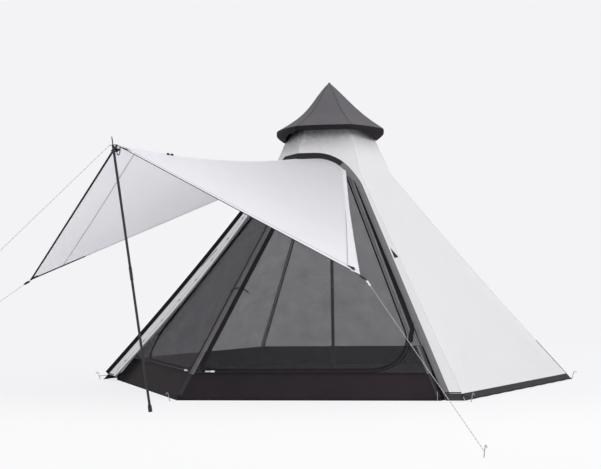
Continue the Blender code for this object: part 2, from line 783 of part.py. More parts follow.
def make_cap(materials):
    levels = 8
    crown = CAP_APEX_HEIGHT

    def ring(radius, height, side_drop=0.0, side_curl=0.0):
        points = []
        for azimuth in range(0, 360, 15):
            off_corner = math.radians((azimuth + 30) % 60 - 30)
            flat = math.cos(math.radians(30.0)) / math.cos(math.radians(30.0) - abs(off_corner))
            drape = CAP_ROUNDNESS + (1.0 - CAP_ROUNDNESS) * flat
            rightwards = math.cos(math.radians(azimuth))
            sideways = abs(rightwards) ** VALANCE_SIDE_POWER
            lean = CAP_WAIST_LEAN * cap_waist(height) * rightwards
            reach = (radius + lean - side_curl * sideways) * drape
            points.append(polar(reach, azimuth, height - side_drop * sideways))
        return points

    outer = [ring(CAP_TIP_RADIUS, crown)]
    for step in range(1, levels + 1):
        height = crown - CAP_DEPTH * step / levels
        outer.append(ring(cap_radius(height), height))
    inner = []
    for step in range(levels, 1, -1):
        height = crown - CAP_DEPTH * step / levels
        inner.append(ring(cap_radius(height, CAP_SKIN), height - (CAP_SKIN if step < levels else 0.0)))
    inner.append(ring(CAP_CROWN_RADIUS, crown - CAP_CROWN_DEPTH))
    smooth(add_object("vent_cap", rings_mesh("vent_cap", outer + inner), materials["cap"]))

    top = CAP_RIM_HEIGHT - SEAM_GAP
    brim = CAP_RIM_RADIUS + VALANCE_FLARE
    bend = top - VALANCE_DROP * VALANCE_BEND
    edge = top - VALANCE_DROP
    side_bend = VALANCE_SIDE_DROP * VALANCE_BEND
    rings = [
        ring(CAP_RIM_RADIUS - VALANCE_SKIN, top),
        ring(CAP_RIM_RADIUS, top),
        ring(brim, bend, side_bend),
        ring(brim, edge, VALANCE_SIDE_DROP, VALANCE_SIDE_CURL),
        ring(brim - VALANCE_SKIN, edge, VALANCE_SIDE_DROP, VALANCE_SIDE_CURL),
        ring(brim - VALANCE_SKIN, bend, side_bend),
    ]
    add_object("cap_rim_hoop", rings_mesh("cap_rim_hoop", rings, closed=True), materials["dark"])


def make_centre_pole(materials):
    ground = Vector((0.0, 0.0, 0.0))
    sky = Vector((0.0, 0.0, 1.0))
    foot_base = FLOOR_CLOTH + SEAM_GAP
    foot_top = foot_base + POLE_FOOT_HEIGHT
    ferrule_half = POLE_FERRULE_LENGTH / 2.0
    parts = {
        "centre_pole_foot": ("rubber", [
            (foot_base, POLE_FOOT_RADIUS),
            (foot_base + POLE_FOOT_HEIGHT * POLE_FOOT_RIM, POLE_FOOT_RADIUS),
            (foot_top, POLE_RADIUS * POLE_FOOT_COLLAR),
        ]),
        "centre_pole_lower": ("steel", [
            (foot_top + SEAM_GAP, POLE_RADIUS),
            (POLE_JOINT_HEIGHT - ferrule_half, POLE_RADIUS),
            (POLE_JOINT_HEIGHT - ferrule_half + FERRULE_TAPER, POLE_RADIUS * FERRULE_SWELL),
            (POLE_JOINT_HEIGHT + ferrule_half - FERRULE_TAPER, POLE_RADIUS * FERRULE_SWELL),
            (POLE_JOINT_HEIGHT + ferrule_half, POLE_RADIUS),
        ]),
        "centre_pole_upper": ("steel", [
            (POLE_JOINT_HEIGHT + ferrule_half + SEAM_GAP, POLE_RADIUS),
            (POLE_TOP_HEIGHT - SEAM_GAP, POLE_RADIUS),
        ]),
        "centre_pole_finial": ("rubber", [
            (POLE_TOP_HEIGHT, POLE_RADIUS * FINIAL_SWELL),
            (FINIAL_TOP - FINIAL_HEIGHT * FINIAL_ROUNDING, POLE_RADIUS * FINIAL_SWELL),
            (FINIAL_TOP, POLE_RADIUS * FINIAL_TIP),
        ]),
    }
    for name, (slot, profile) in parts.items():
        smooth(add_object(name, rings_mesh(name, rod_rings(ground, sky, profile)), materials[slot]))


def awning_root(name):
    """Edge of the arch that one awning panel hangs from, from the crown down into the turn."""
    arch = Arch(name)
    lower = arch.curve(ARCH_TAPE_WIDTH + CLOTH + 2.0 * SEAM_GAP)
    outer_end = ARCH_SIDE_STEPS + AWNING_ROOT_STEP
    return [arch.place(distance, height) for distance, height in reversed(lower[outer_end:])]


def awning_grid(name, corner):
    """Panel from the arch to the hem, between the ridge and its free rear edge, sagging between."""
    root = awning_root(name)
    side = root[-1] - root[0]
    tip = tip_tab_frame().translation
    lean = (corner - tip).normalized()
    rows = 10
    columns = 8
    grid = []
    for row in range(rows + 1):
        along = row / rows
        line = []
        for column in range(columns + 1):
            across = column / columns
            spot = across * (len(root) - 1)
            low = min(int(spot), len(root) - 2)
            start = root[low].lerp(root[low + 1], spot - low)
            hem = tip.lerp(corner, across)
            point = start.lerp(hem, along)
            span = 4.0 * along * (1.0 - along)
            belly = 4.0 * across * (1.0 - across)
            drop = AWNING_RIDGE_SAG * span * (1.0 - across) + AWNING_PANEL_SAG * span * belly
            point = point - Vector((0.0, 0.0, drop))
            point = point - lean * AWNING_EDGE_DRAW * span * across
            inset = (side * (1.0 - along) + lean * along).normalized() * SEAM_GAP
            line.append(point + inset * (1.0 - 2.0 * across))
        grid.append(line)
    return grid


def make_awning(materials):
    panels = (
        ("right", "front", AWNING_RIGHT_CORNER),
        ("left", "left_front", AWNING_LEFT_CORNER),
    )
    for side, face, corner in panels:
        grid = awning_grid(face, corner)
        outward = (grid[0][-1] - grid[-1][0]).cross(grid[-1][-1] - grid[0][0])
        if outward.z < 0.0:
            outward.negate()
        mesh = sheet_mesh("awning_" + side + "_panel", grid, CLOTH, outward)
        smooth(add_object("awning_" + side + "_panel", mesh, materials["fly"]))


def make_awning_pole(materials):
    """Two pole sections on a rubber foot; the top one ends in a spike through the tip tab's eye."""
    axis = (AWNING_TIP - AWNING_POLE_FOOT).normalized()
    start = AWNING_POLE_FOOT
    reach = (AWNING_TIP - AWNING_POLE_FOOT).length
    shoulder = reach - SEAM_GAP
    half = AWNING_POLE_FERRULE / 2.0
    foot_lift = AWNING_FOOT_RADIUS * math.tan(axis.angle(Vector((0.0, 0.0, 1.0))))
    foot_top = foot_lift + AWNING_FOOT_LENGTH
    parts = {
        "awning_pole_foot": ("rubber", [
            (foot_lift, AWNING_FOOT_RADIUS),
            (foot_lift + AWNING_FOOT_LENGTH * AWNING_FOOT_RIM, AWNING_FOOT_RADIUS),
            (foot_top, AWNING_POLE_RADIUS * FERRULE_SWELL),
        ]),
        "awning_pole_lower": ("steel", [
            (foot_top + SEAM_GAP, AWNING_POLE_RADIUS),
            (AWNING_POLE_JOINT - half, AWNING_POLE_RADIUS),
            (AWNING_POLE_JOINT - half + FERRULE_TAPER, AWNING_POLE_RADIUS * FERRULE_SWELL),
            (AWNING_POLE_JOINT + half - FERRULE_TAPER, AWNING_POLE_RADIUS * FERRULE_SWELL),
            (AWNING_POLE_JOINT + half, AWNING_POLE_RADIUS),
        ]),
        "awning_pole_upper": ("steel", [
            (AWNING_POLE_JOINT + half + SEAM_GAP, AWNING_POLE_RADIUS),
            (shoulder - FERRULE_TAPER, AWNING_POLE_RADIUS),
            (shoulder, AWNING_POLE_RADIUS * AWNING_POLE_TIP),
            (shoulder, SPIKE_RADIUS),
            (shoulder + SPIKE_LENGTH * SPIKE_STRAIGHT, SPIKE_RADIUS),
            (shoulder + SPIKE_LENGTH, SPIKE_RADIUS * SPIKE_POINT),
        ]),
    }
    for name, (slot, profile) in parts.items():
        mesh = rings_mesh(name, rod_rings(start, start + axis, profile))
        smooth(add_object(name, mesh, materials[slot]))


def tab_frame(corner, outward, normal):
    """Frame of a webbing tab: X away from the cloth, Z along the normal, origin at the cloth's corner."""
    across = normal.cross(outward).normalized()
    up = outward.cross(across).normalized()
    columns = (outward.normalized(), across, up)
    frame = Matrix([[column[row] for column in columns] for row in range(3)]).to_4x4()
    frame.translation = corner
    return frame


def tab_mesh(name, frame, widest, eye_radius=None):
    """Rounded tab that tapers both ways from its widest place, where it may have an eye."""
    steps = 16
    outline = []
    eye = []
    for step in range(steps):
        turn = 2.0 * math.pi * step / steps
        reach = widest if math.cos(turn) < 0.0 else TAB_LENGTH - widest
        outline.append((widest + reach * math.cos(turn), TAB_WIDTH / 2.0 * math.sin(turn)))
        if eye_radius:
            eye.append((widest + eye_radius * math.cos(turn), eye_radius * math.sin(turn)))
    lowered = frame @ Matrix.Translation((0.0, 0.0, -TAB_THICKNESS / 2.0))
    return plate_mesh(name, outline, TAB_THICKNESS, lowered, eye or None)


def side_tab_frame(corner):
    """A side corner's tab lies in its panel and points along the line that pulls on it."""
    root = polar(FLY_SHOULDER_RADIUS, CORNERS["front_left"], FLY_SHOULDER_HEIGHT)
    outward = ((corner - root).normalized() + (corner - AWNING_TIP).normalized()).normalized()
    normal = (corner - root).cross(corner - AWNING_TIP)
    if normal.z < 0.0:
        normal.negate()
    return tab_frame(corner + outward * SEAM_GAP, outward, normal)


def tip_tab_frame():
    """The tip's tab lies square to the pole, from the cloth's corner out past the spike."""
    axis = (AWNING_TIP - AWNING_POLE_FOOT).normalized()
    root = polar(FLY_SHOULDER_RADIUS, CORNERS["front_left"], AWNING_TIP.z)
    outward = AWNING_TIP - root
    outward -= axis * outward.dot(axis)
    outward.normalize()
    return tab_frame(AWNING_TIP - outward * TIP_EYE_SETBACK + axis * TAB_THICKNESS / 2.0, outward, axis)


def make_awning_tabs(materials):
    tip = tab_mesh("awning_tip_tab", tip_tab_frame(), TIP_EYE_SETBACK, SPIKE_RADIUS + RUNNING_GAP)
    add_object("awning_tip_tab", tip, materials["dark"])
    for side, corner in (("left", AWNING_LEFT_CORNER), ("right", AWNING_RIGHT_CORNER)):
        name = "awning_" + side + "_tab"
        add_object(name, tab_mesh(name, side_tab_frame(corner), TAB_SHOULDER), materials["dark"])


def tube_mesh(name, path, radius, sides=8):
    """Round tube along a path of points, with flat ends."""
    across = Vector((0.0, 0.0, 1.0)).cross(path[1] - path[0])
    if across.length < 1e-6:
        across = Vector((1.0, 0.0, 0.0))
    across.normalize()
    rings = []
    for index, point in enumerate(path):
        before = path[max(index - 1, 0)]
        after = path[min(index + 1, len(path) - 1)]
        along = (after - before).normalized()
        across = (across - along * across.dot(along)).normalized()
        other = along.cross(across)
        ring = []
        for side in range(sides):
            turn = 2.0 * math.pi * side / sides
            ring.append(point + (across * math.cos(turn) + other * math.sin(turn)) * radius)
        rings.append(ring)
    return rings_mesh(name, rings)


def peg_hold(place, outward):
    """Where a line or strap bears on a peg's shank."""
    return place + outward * PEG_LEAN * PEG_HOLD_HEIGHT / PEG_RISE + Vector((0.0, 0.0, PEG_HOLD_HEIGHT))


def make_peg(name, place, outward, materials):
    """Above-ground end of a wire peg: a leaning shank that bends over into a hook."""
    up = Vector((0.0, 0.0, 1.0))
    base = place + up * PEG_RADIUS * PEG_LEAN / PEG_RISE
    top = place + outward * PEG_LEAN + up * PEG_RISE
    path = [base.lerp(top, share) for share in spaced(0.0, 1.0, 3)]
    middle = top + outward * PEG_HOOK_RADIUS
    for turn in spaced(0.0, math.radians(PEG_HOOK_TURN), PEG_HOOK_STEPS)[1:]:
        path.append(middle - outward * PEG_HOOK_RADIUS * math.cos(turn) + up * PEG_HOOK_RADIUS * math.sin(turn))
    smooth(add_object(name, tube_mesh(name, path, PEG_RADIUS), materials["peg"]))


def make_corner_pegs(materials):
    """A peg at each corner; the left, front left and front right corners reach theirs by a strap."""
    for corner in CORNERS:
        outward = polar(1.0, FLY_CORNERS[corner], 0.0)
        if corner == "front_left":
            edge = inner_radius(STRAP_HEIGHT - STRAP_THICKNESS) + SEAM_GAP
        else:
            edge = fly_radius(corner, STRAP_HEIGHT - STRAP_THICKNESS) + CORNER_STANDOFF
        if corner in STRAP_REACHES:
            place = outward * (edge + STRAP_REACHES[corner])
            start = outward * edge + Vector((0.0, 0.0, STRAP_HEIGHT))
            end = peg_hold(place, outward) - outward * (PEG_RADIUS + 3.0 * SEAM_GAP)
            make_strap("strap_" + corner, start, end, materials)
        else:
            place = outward * (fly_radius(corner, SKIRT_CLEARANCE) + PEG_STANDOFF + PEG_RADIUS)
        make_peg("peg_" + corner, place, outward, materials)
    face = InnerFace("front")
    outward = polar(1.0, (CORNERS["front_left"] + CORNERS["front_right"]) / 2.0, 0.0)
    place = face.frame @ Vector((face.half_base - INNER_PEG_SETBACK, 0.0, 0.0))
    make_peg("peg_inner_front_right", place + outward * PEG_RADIUS, outward, materials)


def make_strap(name, start, end, materials):
    along = (end - start).normalized()
    across = Vector((0.0, 0.0, 1.0)).cross(along).normalized()
    lift = along.cross(across)
    rings = []
    for point in (start, start.lerp(end, 0.5), end):
        side = across * STRAP_WIDTH / 2.0
        thick = lift * STRAP_THICKNESS / 2.0
        rings.append([point - side - thick, point + side - thick, point + side + thick, point - side + thick])
    add_object(name, rings_mesh(name, rings), materials["dark"])


def guy_route(start, anchor):
    """Taut line from a tab's outer end to its peg."""
    flat = Vector((anchor.x - start.x, anchor.y - start.y, 0.0)).normalized()
    end = peg_hold(anchor, flat) - flat * (PEG_RADIUS + SEAM_GAP + GUY_RADIUS * GUY_SEAT)
    return [start.lerp(end, share) for share in spaced(0.0, 1.0, GUY_STEPS)], flat


def guy_start(frame, anchor):
    """Start of a line that meets its tab's outer end at a slant without cutting into it."""
    outward = frame.col[0].to_3d()
    slant = outward.angle(anchor - frame.translation)
    reach = TAB_LENGTH + SEAM_GAP + GUY_RADIUS * math.sin(slant)
    return frame.translation + outward * reach


def make_guys(materials):
    lines = {
        "tip": (tip_tab_frame(), TIP_GUY_ANCHOR),
        "left": (side_tab_frame(AWNING_LEFT_CORNER), LEFT_GUY_ANCHOR),
        "right": (side_tab_frame(AWNING_RIGHT_CORNER), RIGHT_GUY_ANCHOR),
    }
    for side, (frame, anchor) in lines.items():
        points, flat = guy_route(guy_start(frame, anchor), anchor)
        name = "guy_line_" + side
        add_object(name, tube_mesh(name, points, GUY_RADIUS), materials["cord"])
        make_peg("guy_peg_" + side, anchor, flat, materials)
        if side == "right":
            make_runner(points, materials)


def make_runner(points, materials):
    """Flat slider on the right guy line, threaded on it through its length."""
    name = "guy_runner_right"
    along = (points[-1] - points[0]).normalized()
    centre = points[0] + along * RUNNER_DISTANCE
    across = Vector((0.0, 0.0, 1.0)).cross(along).normalized()
    lift = along.cross(across)
    rings = []
    turns = [2.0 * math.pi * side / ROUND_SIDES for side in range(ROUND_SIDES)]
    bore = GUY_RADIUS + RUNNING_GAP
    half = RUNNER_LENGTH / 2.0

    def squared(value):
        return math.copysign(abs(value) ** RUNNER_ROUNDING, value)

    for share, wide in (
        (-1.0, RUNNER_END_WIDTH),
        (-RUNNER_STRAIGHT, 1.0),
        (RUNNER_STRAIGHT, 1.0),
        (1.0, RUNNER_END_WIDTH),
    ):
        ring = []
        for turn in turns:
            x = squared(math.cos(turn)) * RUNNER_WIDTH / 2.0 * wide
            y = squared(math.sin(turn)) * RUNNER_THICKNESS / 2.0
            ring.append(centre + along * half * share + across * x + lift * y)
        rings.append(ring)
    for reach in (half, -half):
        ring = []
        for turn in turns:
            ring.append(centre + along * reach + (across * math.cos(turn) + lift * math.sin(turn)) * bore)
        rings.append(ring)
    add_object(name, rings_mesh(name, rings, closed=True), materials["plastic"])


def main():
    clear_scene()
    materials = make_materials()
    make_tub(materials)
    make_plain_walls(materials)
    for name in ("front", "left_front"):
        make_door_set(name, materials)
        make_door_slider(name, materials)
    make_inner_peak(materials)
    make_fly_panels(materials)
    make_skirts(materials)
    for name in ARCH_SIDES:
        make_arch_side(name, materials)
    make_ridge_webbing(materials)
    make_cap(materials)
    make_centre_pole(materials)
    make_awning(materials)
    make_awning_pole(materials)
    make_awning_tabs(materials)
    make_corner_pegs(materials)
    make_guys(materials)


main()
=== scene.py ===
"""Looks of a hexagonal pyramid tent: cloth, mesh, webbing, zips, poles, pegs and guy lines.

Metres, +Z up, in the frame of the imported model. The front face looks towards -Y.
"""

import json
import math

import bmesh
import bpy
from mathutils import Matrix, Vector, noise


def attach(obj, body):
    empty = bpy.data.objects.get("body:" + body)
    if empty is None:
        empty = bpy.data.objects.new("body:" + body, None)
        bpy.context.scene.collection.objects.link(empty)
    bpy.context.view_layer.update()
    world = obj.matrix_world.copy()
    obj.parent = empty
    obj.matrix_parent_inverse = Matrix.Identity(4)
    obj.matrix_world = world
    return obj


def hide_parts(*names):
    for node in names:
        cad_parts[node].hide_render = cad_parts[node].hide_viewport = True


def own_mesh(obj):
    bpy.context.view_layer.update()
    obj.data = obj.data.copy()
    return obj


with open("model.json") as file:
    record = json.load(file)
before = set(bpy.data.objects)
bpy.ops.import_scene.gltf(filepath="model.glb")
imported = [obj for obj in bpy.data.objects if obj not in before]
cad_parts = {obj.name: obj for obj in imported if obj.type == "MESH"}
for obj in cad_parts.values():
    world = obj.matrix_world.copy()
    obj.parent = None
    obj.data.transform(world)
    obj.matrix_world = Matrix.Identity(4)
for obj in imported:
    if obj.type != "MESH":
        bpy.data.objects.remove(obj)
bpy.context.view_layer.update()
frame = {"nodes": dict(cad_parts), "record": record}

# Plan and profile of the flysheet and the inner tent, as the frame has them
FLY_CORNER_RADIUS = 1.84
INNER_CORNER_RADIUS = 1.77
INNER_APEX_HEIGHT = 2.12
FRONT_RIGHT_SPREAD = 4.0
FLY_HEM_HEIGHT = 0.045
FLY_SHOULDER_HEIGHT = 1.60
FLY_SHOULDER_RADIUS = 0.485
FLY_SHOULDER_SOFTNESS = 0.09
FLY_NECK_HEIGHT = 1.90
FLY_NECK_RADIUS = 0.350
FLY_TOP_HEIGHT = 2.25
FLY_TOP_RADIUS = 0.0152
FLY_RIDGE_SAG = 0.016
FLY_PANEL_SAG = 0.018
FLY_SEAM_INSET = 0.0058
SKIRT_BASE = 0.003
TUB_HEIGHT = 0.165
INNER_WALL_TOP = 2.04

# Mesh doors, with their tie, pleats and zip flaps
DOOR_TOP = 1.56
DOOR_BOTTOM_MARGIN = 0.030
DOOR_CORNER_RADIUS = 0.24
DOOR_TIGHT_RADIUS = 0.05
DOOR_HINGE_MARGIN = 0.045
FRONT_DOOR_FREE_MARGIN = 0.050
LEFT_DOOR_FREE_MARGIN = 0.190
DOOR_TAPE_WIDTH = 0.022
DOOR_TIE_HEIGHT = 0.72
DOOR_TIE_LENGTH = 0.135
DOOR_TIE_SETBACK = 0.030
DOOR_PLEATS = 16.0
DOOR_PLEAT_DEPTH = 0.0022
FRONT_FLAP_REACH = 0.046
LEFT_FLAP_REACH = 0.020

# Zip arch of the open front
ARCH_CROWN_HEIGHT = 1.762
ARCH_SPRING_HEIGHT = 1.50
ARCH_TAPE_WIDTH = 0.045
ARCH_SIDE_STEPS = 24
ARCH_TURN_STEPS = 16
ARCH_CROWN_STEPS = 8
ARCH_LEG_END = ARCH_SIDE_STEPS + ARCH_TURN_STEPS // 2
YOKE_LEVEL = ARCH_CROWN_HEIGHT + 0.020
AWNING_ROOT_STEP = 6
ZIP_FLAP_WIDTH = 0.080

# Webbing folded over the left ridge
RIDGE_WEBBING_WING = 0.012
RIDGE_WEBBING_FIN = 0.028

# Peak cap, and the valance that its brim makes
CAP_SIDES = 96
CAP_APEX_HEIGHT = 2.352
CAP_DEPTH = 0.379
CAP_RIM_HEIGHT = CAP_APEX_HEIGHT - CAP_DEPTH
CAP_RIM_RADIUS = 0.425
CAP_WAIST_DRAW = 0.044
CAP_WAIST_LEAN = 0.018
CAP_WAIST_POWER = 1.6
CAP_FACET_HOLLOW = 0.012
CAP_FACET_SETBACK = 0.134
CAP_DRAPE = 0.65
VALANCE_DROP = 0.038
VALANCE_SIDE_DROP = 0.055
VALANCE_SIDE_CURL = 0.055
VALANCE_SIDE_POWER = 6

# Awning
AWNING_TIP = Vector((-1.060, -2.362, 1.650))
AWNING_LEFT_CORNER = Vector((-2.054, -1.170, 0.816))
AWNING_RIGHT_CORNER = Vector((0.442, -2.304, 0.831))
AWNING_RIDGE_SAG = 0.050
AWNING_PANEL_SAG = 0.030
AWNING_EDGE_DRAW = 0.006
AWNING_POLE_FOOT = Vector((-0.887, -2.193, 0.0))
TIP_EYE_SETBACK = 0.026
TIP_TAB_LIFT = 0.00125
RIDGE_TAB_PLACES = (0.737, 0.756)

# Seams, gathers and creases
FLY_SEAM_WIDTH = 0.011
FLY_SLACK = 0.004
CREASE_REACH = 0.30
CORNER_BINDING_TOP = 0.30
SKIRT_GATHERS = 61.0
SKIRT_GATHER_DEPTH = 0.0022
FRONT_SEAM_WIDTH = 0.020
REAR_SEAM_WIDTH = 0.014
TUB_SEAM_WIDTH = 0.016
TUB_BINDING_WIDTH = 0.014
TUB_RIPPLE = 0.004
COLLAR_BORE = 0.0128
COLLAR_HEIGHT = 0.050
COLLAR_PLEAT = 0.05
COLLAR_SIDES = 36

# Cloth as the eye sees it: thinner than the solids that stand in for it
CLOTH = 0.0012
MESH = 0.0008
LIFT = 0.0004

# Gap left where two cloths meet at a seam
SEAM_GAP = 0.0003

# How far the awning's trim stands out of its cloth, on both sides
TRIM_COVER = 0.0008

CORNERS = {
    "right": 0.0,
    "rear_right": 60.0,
    "rear_left": 120.0,
    "left": 180.0,
    "front_left": 240.0,
    "front_right": 300.0,
}
FACES = {
    "right_front": ("front_right", "right"),
    "right_rear": ("right", "rear_right"),
    "rear": ("rear_right", "rear_left"),
    "left_rear": ("rear_left", "left"),
    "left_front": ("left", "front_left"),
    "front": ("front_left", "front_right"),
}
FULL_PANELS = ("right_front", "right_rear", "rear", "left_rear")
FRONT_CORNERS = ("front_left", "front_right", "left")

# Foot radius and sag of each ridge of the flysheet
FLY_RIDGES = dict.fromkeys(CORNERS, (FLY_CORNER_RADIUS, FLY_RIDGE_SAG))
FLY_RIDGES.update(front_right=(1.87, 0.0), left=(1.88, 0.028))

# Each half of the zip arch: width of the strip beside it at its foot and head, its bow, and the turn's reach
ARCH_SIDES = {
    "front": (0.080, 0.025, 0.0, 0.28),
    "left_front": (0.130, 0.050, 0.090, 0.10),
}

# Row of buttons beside the left zip tape
LOWEST_BUTTON = 0.16
HIGHEST_BUTTON = 1.44
BUTTON_GAPS = 8

# Hook on the left strip: shares of the strip's width, and heights
ARCH_HOOK = ((0.30, 0.90), (0.24, 0.93), (0.30, 0.96), (0.42, 1.00), (0.52, 1.04))

# Guy-out tab beside the right ridge: distances from the ridge, and heights
GUY_OUT_TAB = ((0.032, 1.015), (0.004, 0.950), (0.034, 0.942))

# Guy lines, end to end
GUY_DIAMETER = 0.0032
GUY_ROUTES = {
    "tip": (Vector((-1.0718, -2.3903, 1.6471)), Vector((-2.9165, -2.2998, 0.0300))),
    "left": (Vector((-2.1010, -1.1594, 0.7881)), Vector((-3.3354, -0.9994, 0.0300))),
    "right": (Vector((0.4820, -2.3322, 0.8030)), Vector((1.1528, -3.9111, 0.0300))),
}

# Runner of the right guy line, and its outline from the ends inwards: shares of its half length, half widths
RUNNER_SETBACK = 0.045
RUNNER_HALF_LENGTH = 0.030
RUNNER_HALF_THICKNESS = 0.0032
RUNNER_BORE = 0.0019
RUNNER_SIDES = 20
RUNNER_OUTLINE = ((1.0, 0.0050), (0.93, 0.0072), (0.75, 0.0080), (0.5, 0.0068), (0.25, 0.0050))

# Camera, background and light
CAMERA_PLACE = Vector((1.1338, -9.5461, 0.8735))
CAMERA_AZIMUTH = 8.234
CAMERA_RISE = 1.636
CAMERA_ROLL = -0.805
CAMERA_LENS = 72.71
CAMERA_CLIP_END = 300.0
BACKGROUND = (0.896, 0.896, 0.912)
NEAR_FLOOR = (0.945, 0.945, 0.95)
AMBIENT = 0.98
KEY_PLACE = Vector((7.0, -6.5, 6.0))
KEY_AIM = Vector((0.0, 0.0, 0.9))
KEY_WATTS = 330.0
KEY_SIZE = 6.0

# Floor: where its near tone begins, towards the front and by distance, and where its shadows fade out
FLOOR_REACH = 120.0
FLOOR_FRONT = (-0.6, -3.2)
FLOOR_NEAR = (18.0, 5.0)
SHADOW_FADE = (2.5, 7.0)

# Painted shade on the flysheet's neck, under the cap and on the side away from the key light: between two
# heights, and from right to left
NECK_SHADE_RISE = (1.72, 1.99)
NECK_SHADE_SIDE = (0.22, -0.12)

# Specular level of cloth, mesh and webbing
MATT = 0.18

# Slots of the CAD nodes that stay, each with the look of its name, and the nodes that webbing stands for
CAD_FINISHES = ("pale_plastic", "black_steel", "grey_steel", "black_rubber", "dark_binding")
WEBBING_NODES = (
    "awning_tip_tab",
    "awning_left_tab",
    "awning_right_tab",
    "strap_left",
    "strap_front_left",
    "strap_front_right",
)

# Each look by its name, filled as they are made
LOOKS = {}


def polar(radius, azimuth, height):
    angle = math.radians(azimuth)
    return Vector((radius * math.cos(angle), radius * math.sin(angle), height))


def spaced(start, end, steps):
    return [start + (end - start) * index / steps for index in range(steps + 1)]


def ease(value):
    """Smooth step from 0 to 1."""
    value = min(max(value, 0.0), 1.0)
    return value * value * (3.0 - 2.0 * value)


def link(name, data):
    made = bpy.data.objects.new(name, data)
    bpy.context.scene.collection.objects.link(made)
    return made


# Materials


class Graph:
    """Node tree of a material or a world, with short calls for the nodes used here."""

    def __init__(self, owner):
        owner.use_nodes = True
        self.owner = owner
        self.tree = owner.node_tree
        self.shader = self.tree.nodes.get("Principled BSDF")

    def node(self, kind, inputs=(), **settings):
        made = self.tree.nodes.new("ShaderNode" + kind)
        for key, value in settings.items():
            setattr(made, key, value)
        for key, value in dict(inputs).items():
            self.feed(made, key, value)
        return made

    def feed(self, node, key, value):
        if isinstance(value, bpy.types.NodeSocket):
            self.tree.links.new(value, node.inputs[key])
        else:
            node.inputs[key].default_value = value

    def math(self, operation, *values):
        return self.node("Math", enumerate(values), operation=operation).outputs[0]

    def metres(self):
        """Position in metres: every piece sits at the world's origin."""
        return self.node("TexCoord").outputs["Object"]

    def split(self, vector):
        return self.node("SeparateXYZ", {0: vector}).outputs

    def cut(self):
        """Distance in metres along (X) and across (Y) a strip or panel as it was cut."""
        return self.split(self.node("UVMap", uv_map="cut").outputs[0])[:2]

    def ramp(self, value, *limits, smooth=True):
        """Share of the way from the first limit to the second, or between the two values given after them."""
        kind = "SMOOTHSTEP" if smooth else "LINEAR"
        inputs = dict(enumerate((value, *limits)))
        return self.node("MapRange", inputs, interpolation_type=kind).outputs[0]

    def noise(self, scale, detail=3.0, stretch=None):
        place = self.metres()
        if stretch:
            place = self.node("Mapping", {"Vector": place, "Scale": stretch}).outputs[0]
        return self.node("TexNoise", {"Vector": place, "Scale": scale, "Detail": detail}).outputs[0]

    def wave(self, value, pitch):
        """Ridges from 0 to 1 at a pitch in metres along a distance."""
        turns = self.math("MULTIPLY", value, 2.0 * math.pi / pitch)
        return self.math("MULTIPLY_ADD", self.math("SINE", turns), 0.5, 0.5)

    def weave(self, pitch):
        along, across = self.cut()
        return self.math("MULTIPLY", self.wave(along, pitch), self.wave(across, pitch))

    def blend(self, share, dark, light):
        ends = [end if isinstance(end, bpy.types.NodeSocket) else (*end, 1.0) for end in (dark, light)]
        return self.node("Mix", {0: share, 6: ends[0], 7: ends[1]}, data_type="RGBA").outputs[2]

    def uneven(self, scale, colour, darkest, lightest):
        """A colour whose tone wanders between two shares of itself."""
        ends = [[value * share for value in colour] for share in (darkest, lightest)]
        return self.blend(self.noise(scale), *ends)

    def bump(self, height, distance, strength=1.0, normal=None):
        made = self.node("Bump", {"Height": height, "Distance": distance, "Strength": strength})
        if normal is not None:
            self.feed(made, "Normal", normal)
        return made.outputs[0]

    def surface(self, **values):
        for key, value in values.items():
            self.feed(self.shader, key.replace("_", " ").title().replace("Ior", "IOR"), value)

    def mixed(self, share, first, second):
        return self.node("MixShader", {0: share, 1: first.outputs[0], 2: second.outputs[0]}).outputs[0]

    def finish(self, shader=None):
        if shader is not None:
            self.tree.links.new(shader, self.tree.nodes["Material Output"].inputs["Surface"])
        return self.owner

    def finish_cloth(self, glow, **through):
        """Finish as opaque cloth, or with a share of the light let through."""
        if glow <= 0.0:
            return self.finish()
        inputs = {key.title(): value for key, value in through.items()}
        return self.finish(self.mixed(glow, self.shader, self.node("BsdfTranslucent", inputs)))


def new_look(name):
    LOOKS[name] = bpy.data.materials.new(name)
    return Graph(LOOKS[name])


def cloth_material(name, dark, light, glow=0.0, roughness=0.72, neck=None):
    """Woven cloth: a fine weave, soft creases, slight unevenness, light let through, and painted shade on the
    neck.
    """
    graph = new_look(name)
    tone = graph.blend(graph.noise(3.5, 5.0), dark, light)
    # Painted shade: the neck darkens under the cap, and more on the left away from the key light, in mottled
    # patches
    if neck:
        place = graph.split(graph.metres())
        rise = graph.ramp(place[2], *NECK_SHADE_RISE)
        left = graph.ramp(place[0], *NECK_SHADE_SIDE, 0.45, 1.0, smooth=False)
        speckle = graph.math("MULTIPLY_ADD", graph.noise(34.0), 0.9, 0.2)
        tone = graph.blend(graph.math("MULTIPLY", graph.math("MULTIPLY", rise, left), speckle), tone, neck)
    fold = graph.bump(graph.noise(2.2, 4.0, (1.0, 1.0, 0.45)), 0.004, 0.35)
    fine = graph.bump(graph.noise(60.0, 2.0), 0.0004, 0.3, fold)
    woven = graph.bump(graph.weave(0.0009), 0.0002, 0.25, fine)
    graph.surface(base_color=tone, roughness=roughness, normal=woven, specular_ior_level=MATT)
    graph.finish_cloth(glow, color=tone, normal=woven)


def mesh_material(name, colour, solid):
    """Insect mesh: dark threads with see-through holes, slightly denser in places."""
    graph = new_look(name)
    along, across = graph.cut()
    threads = graph.math("MAXIMUM", graph.wave(along, 0.0024), graph.wave(across, 0.0024))
    density = graph.math("MULTIPLY_ADD", graph.noise(9.0, 2.0), 0.10, solid - 0.05)
    share = graph.math("MULTIPLY_ADD", threads, 0.16, graph.math("SUBTRACT", density, 0.11))
    tone = graph.uneven(40.0, colour, 0.8, 1.25)
    normal = graph.bump(threads, 0.0003, 0.4)
    graph.surface(base_color=tone, roughness=0.85, normal=normal, specular_ior_level=MATT)
    graph.finish(graph.mixed(share, graph.node("BsdfTransparent"), graph.shader))


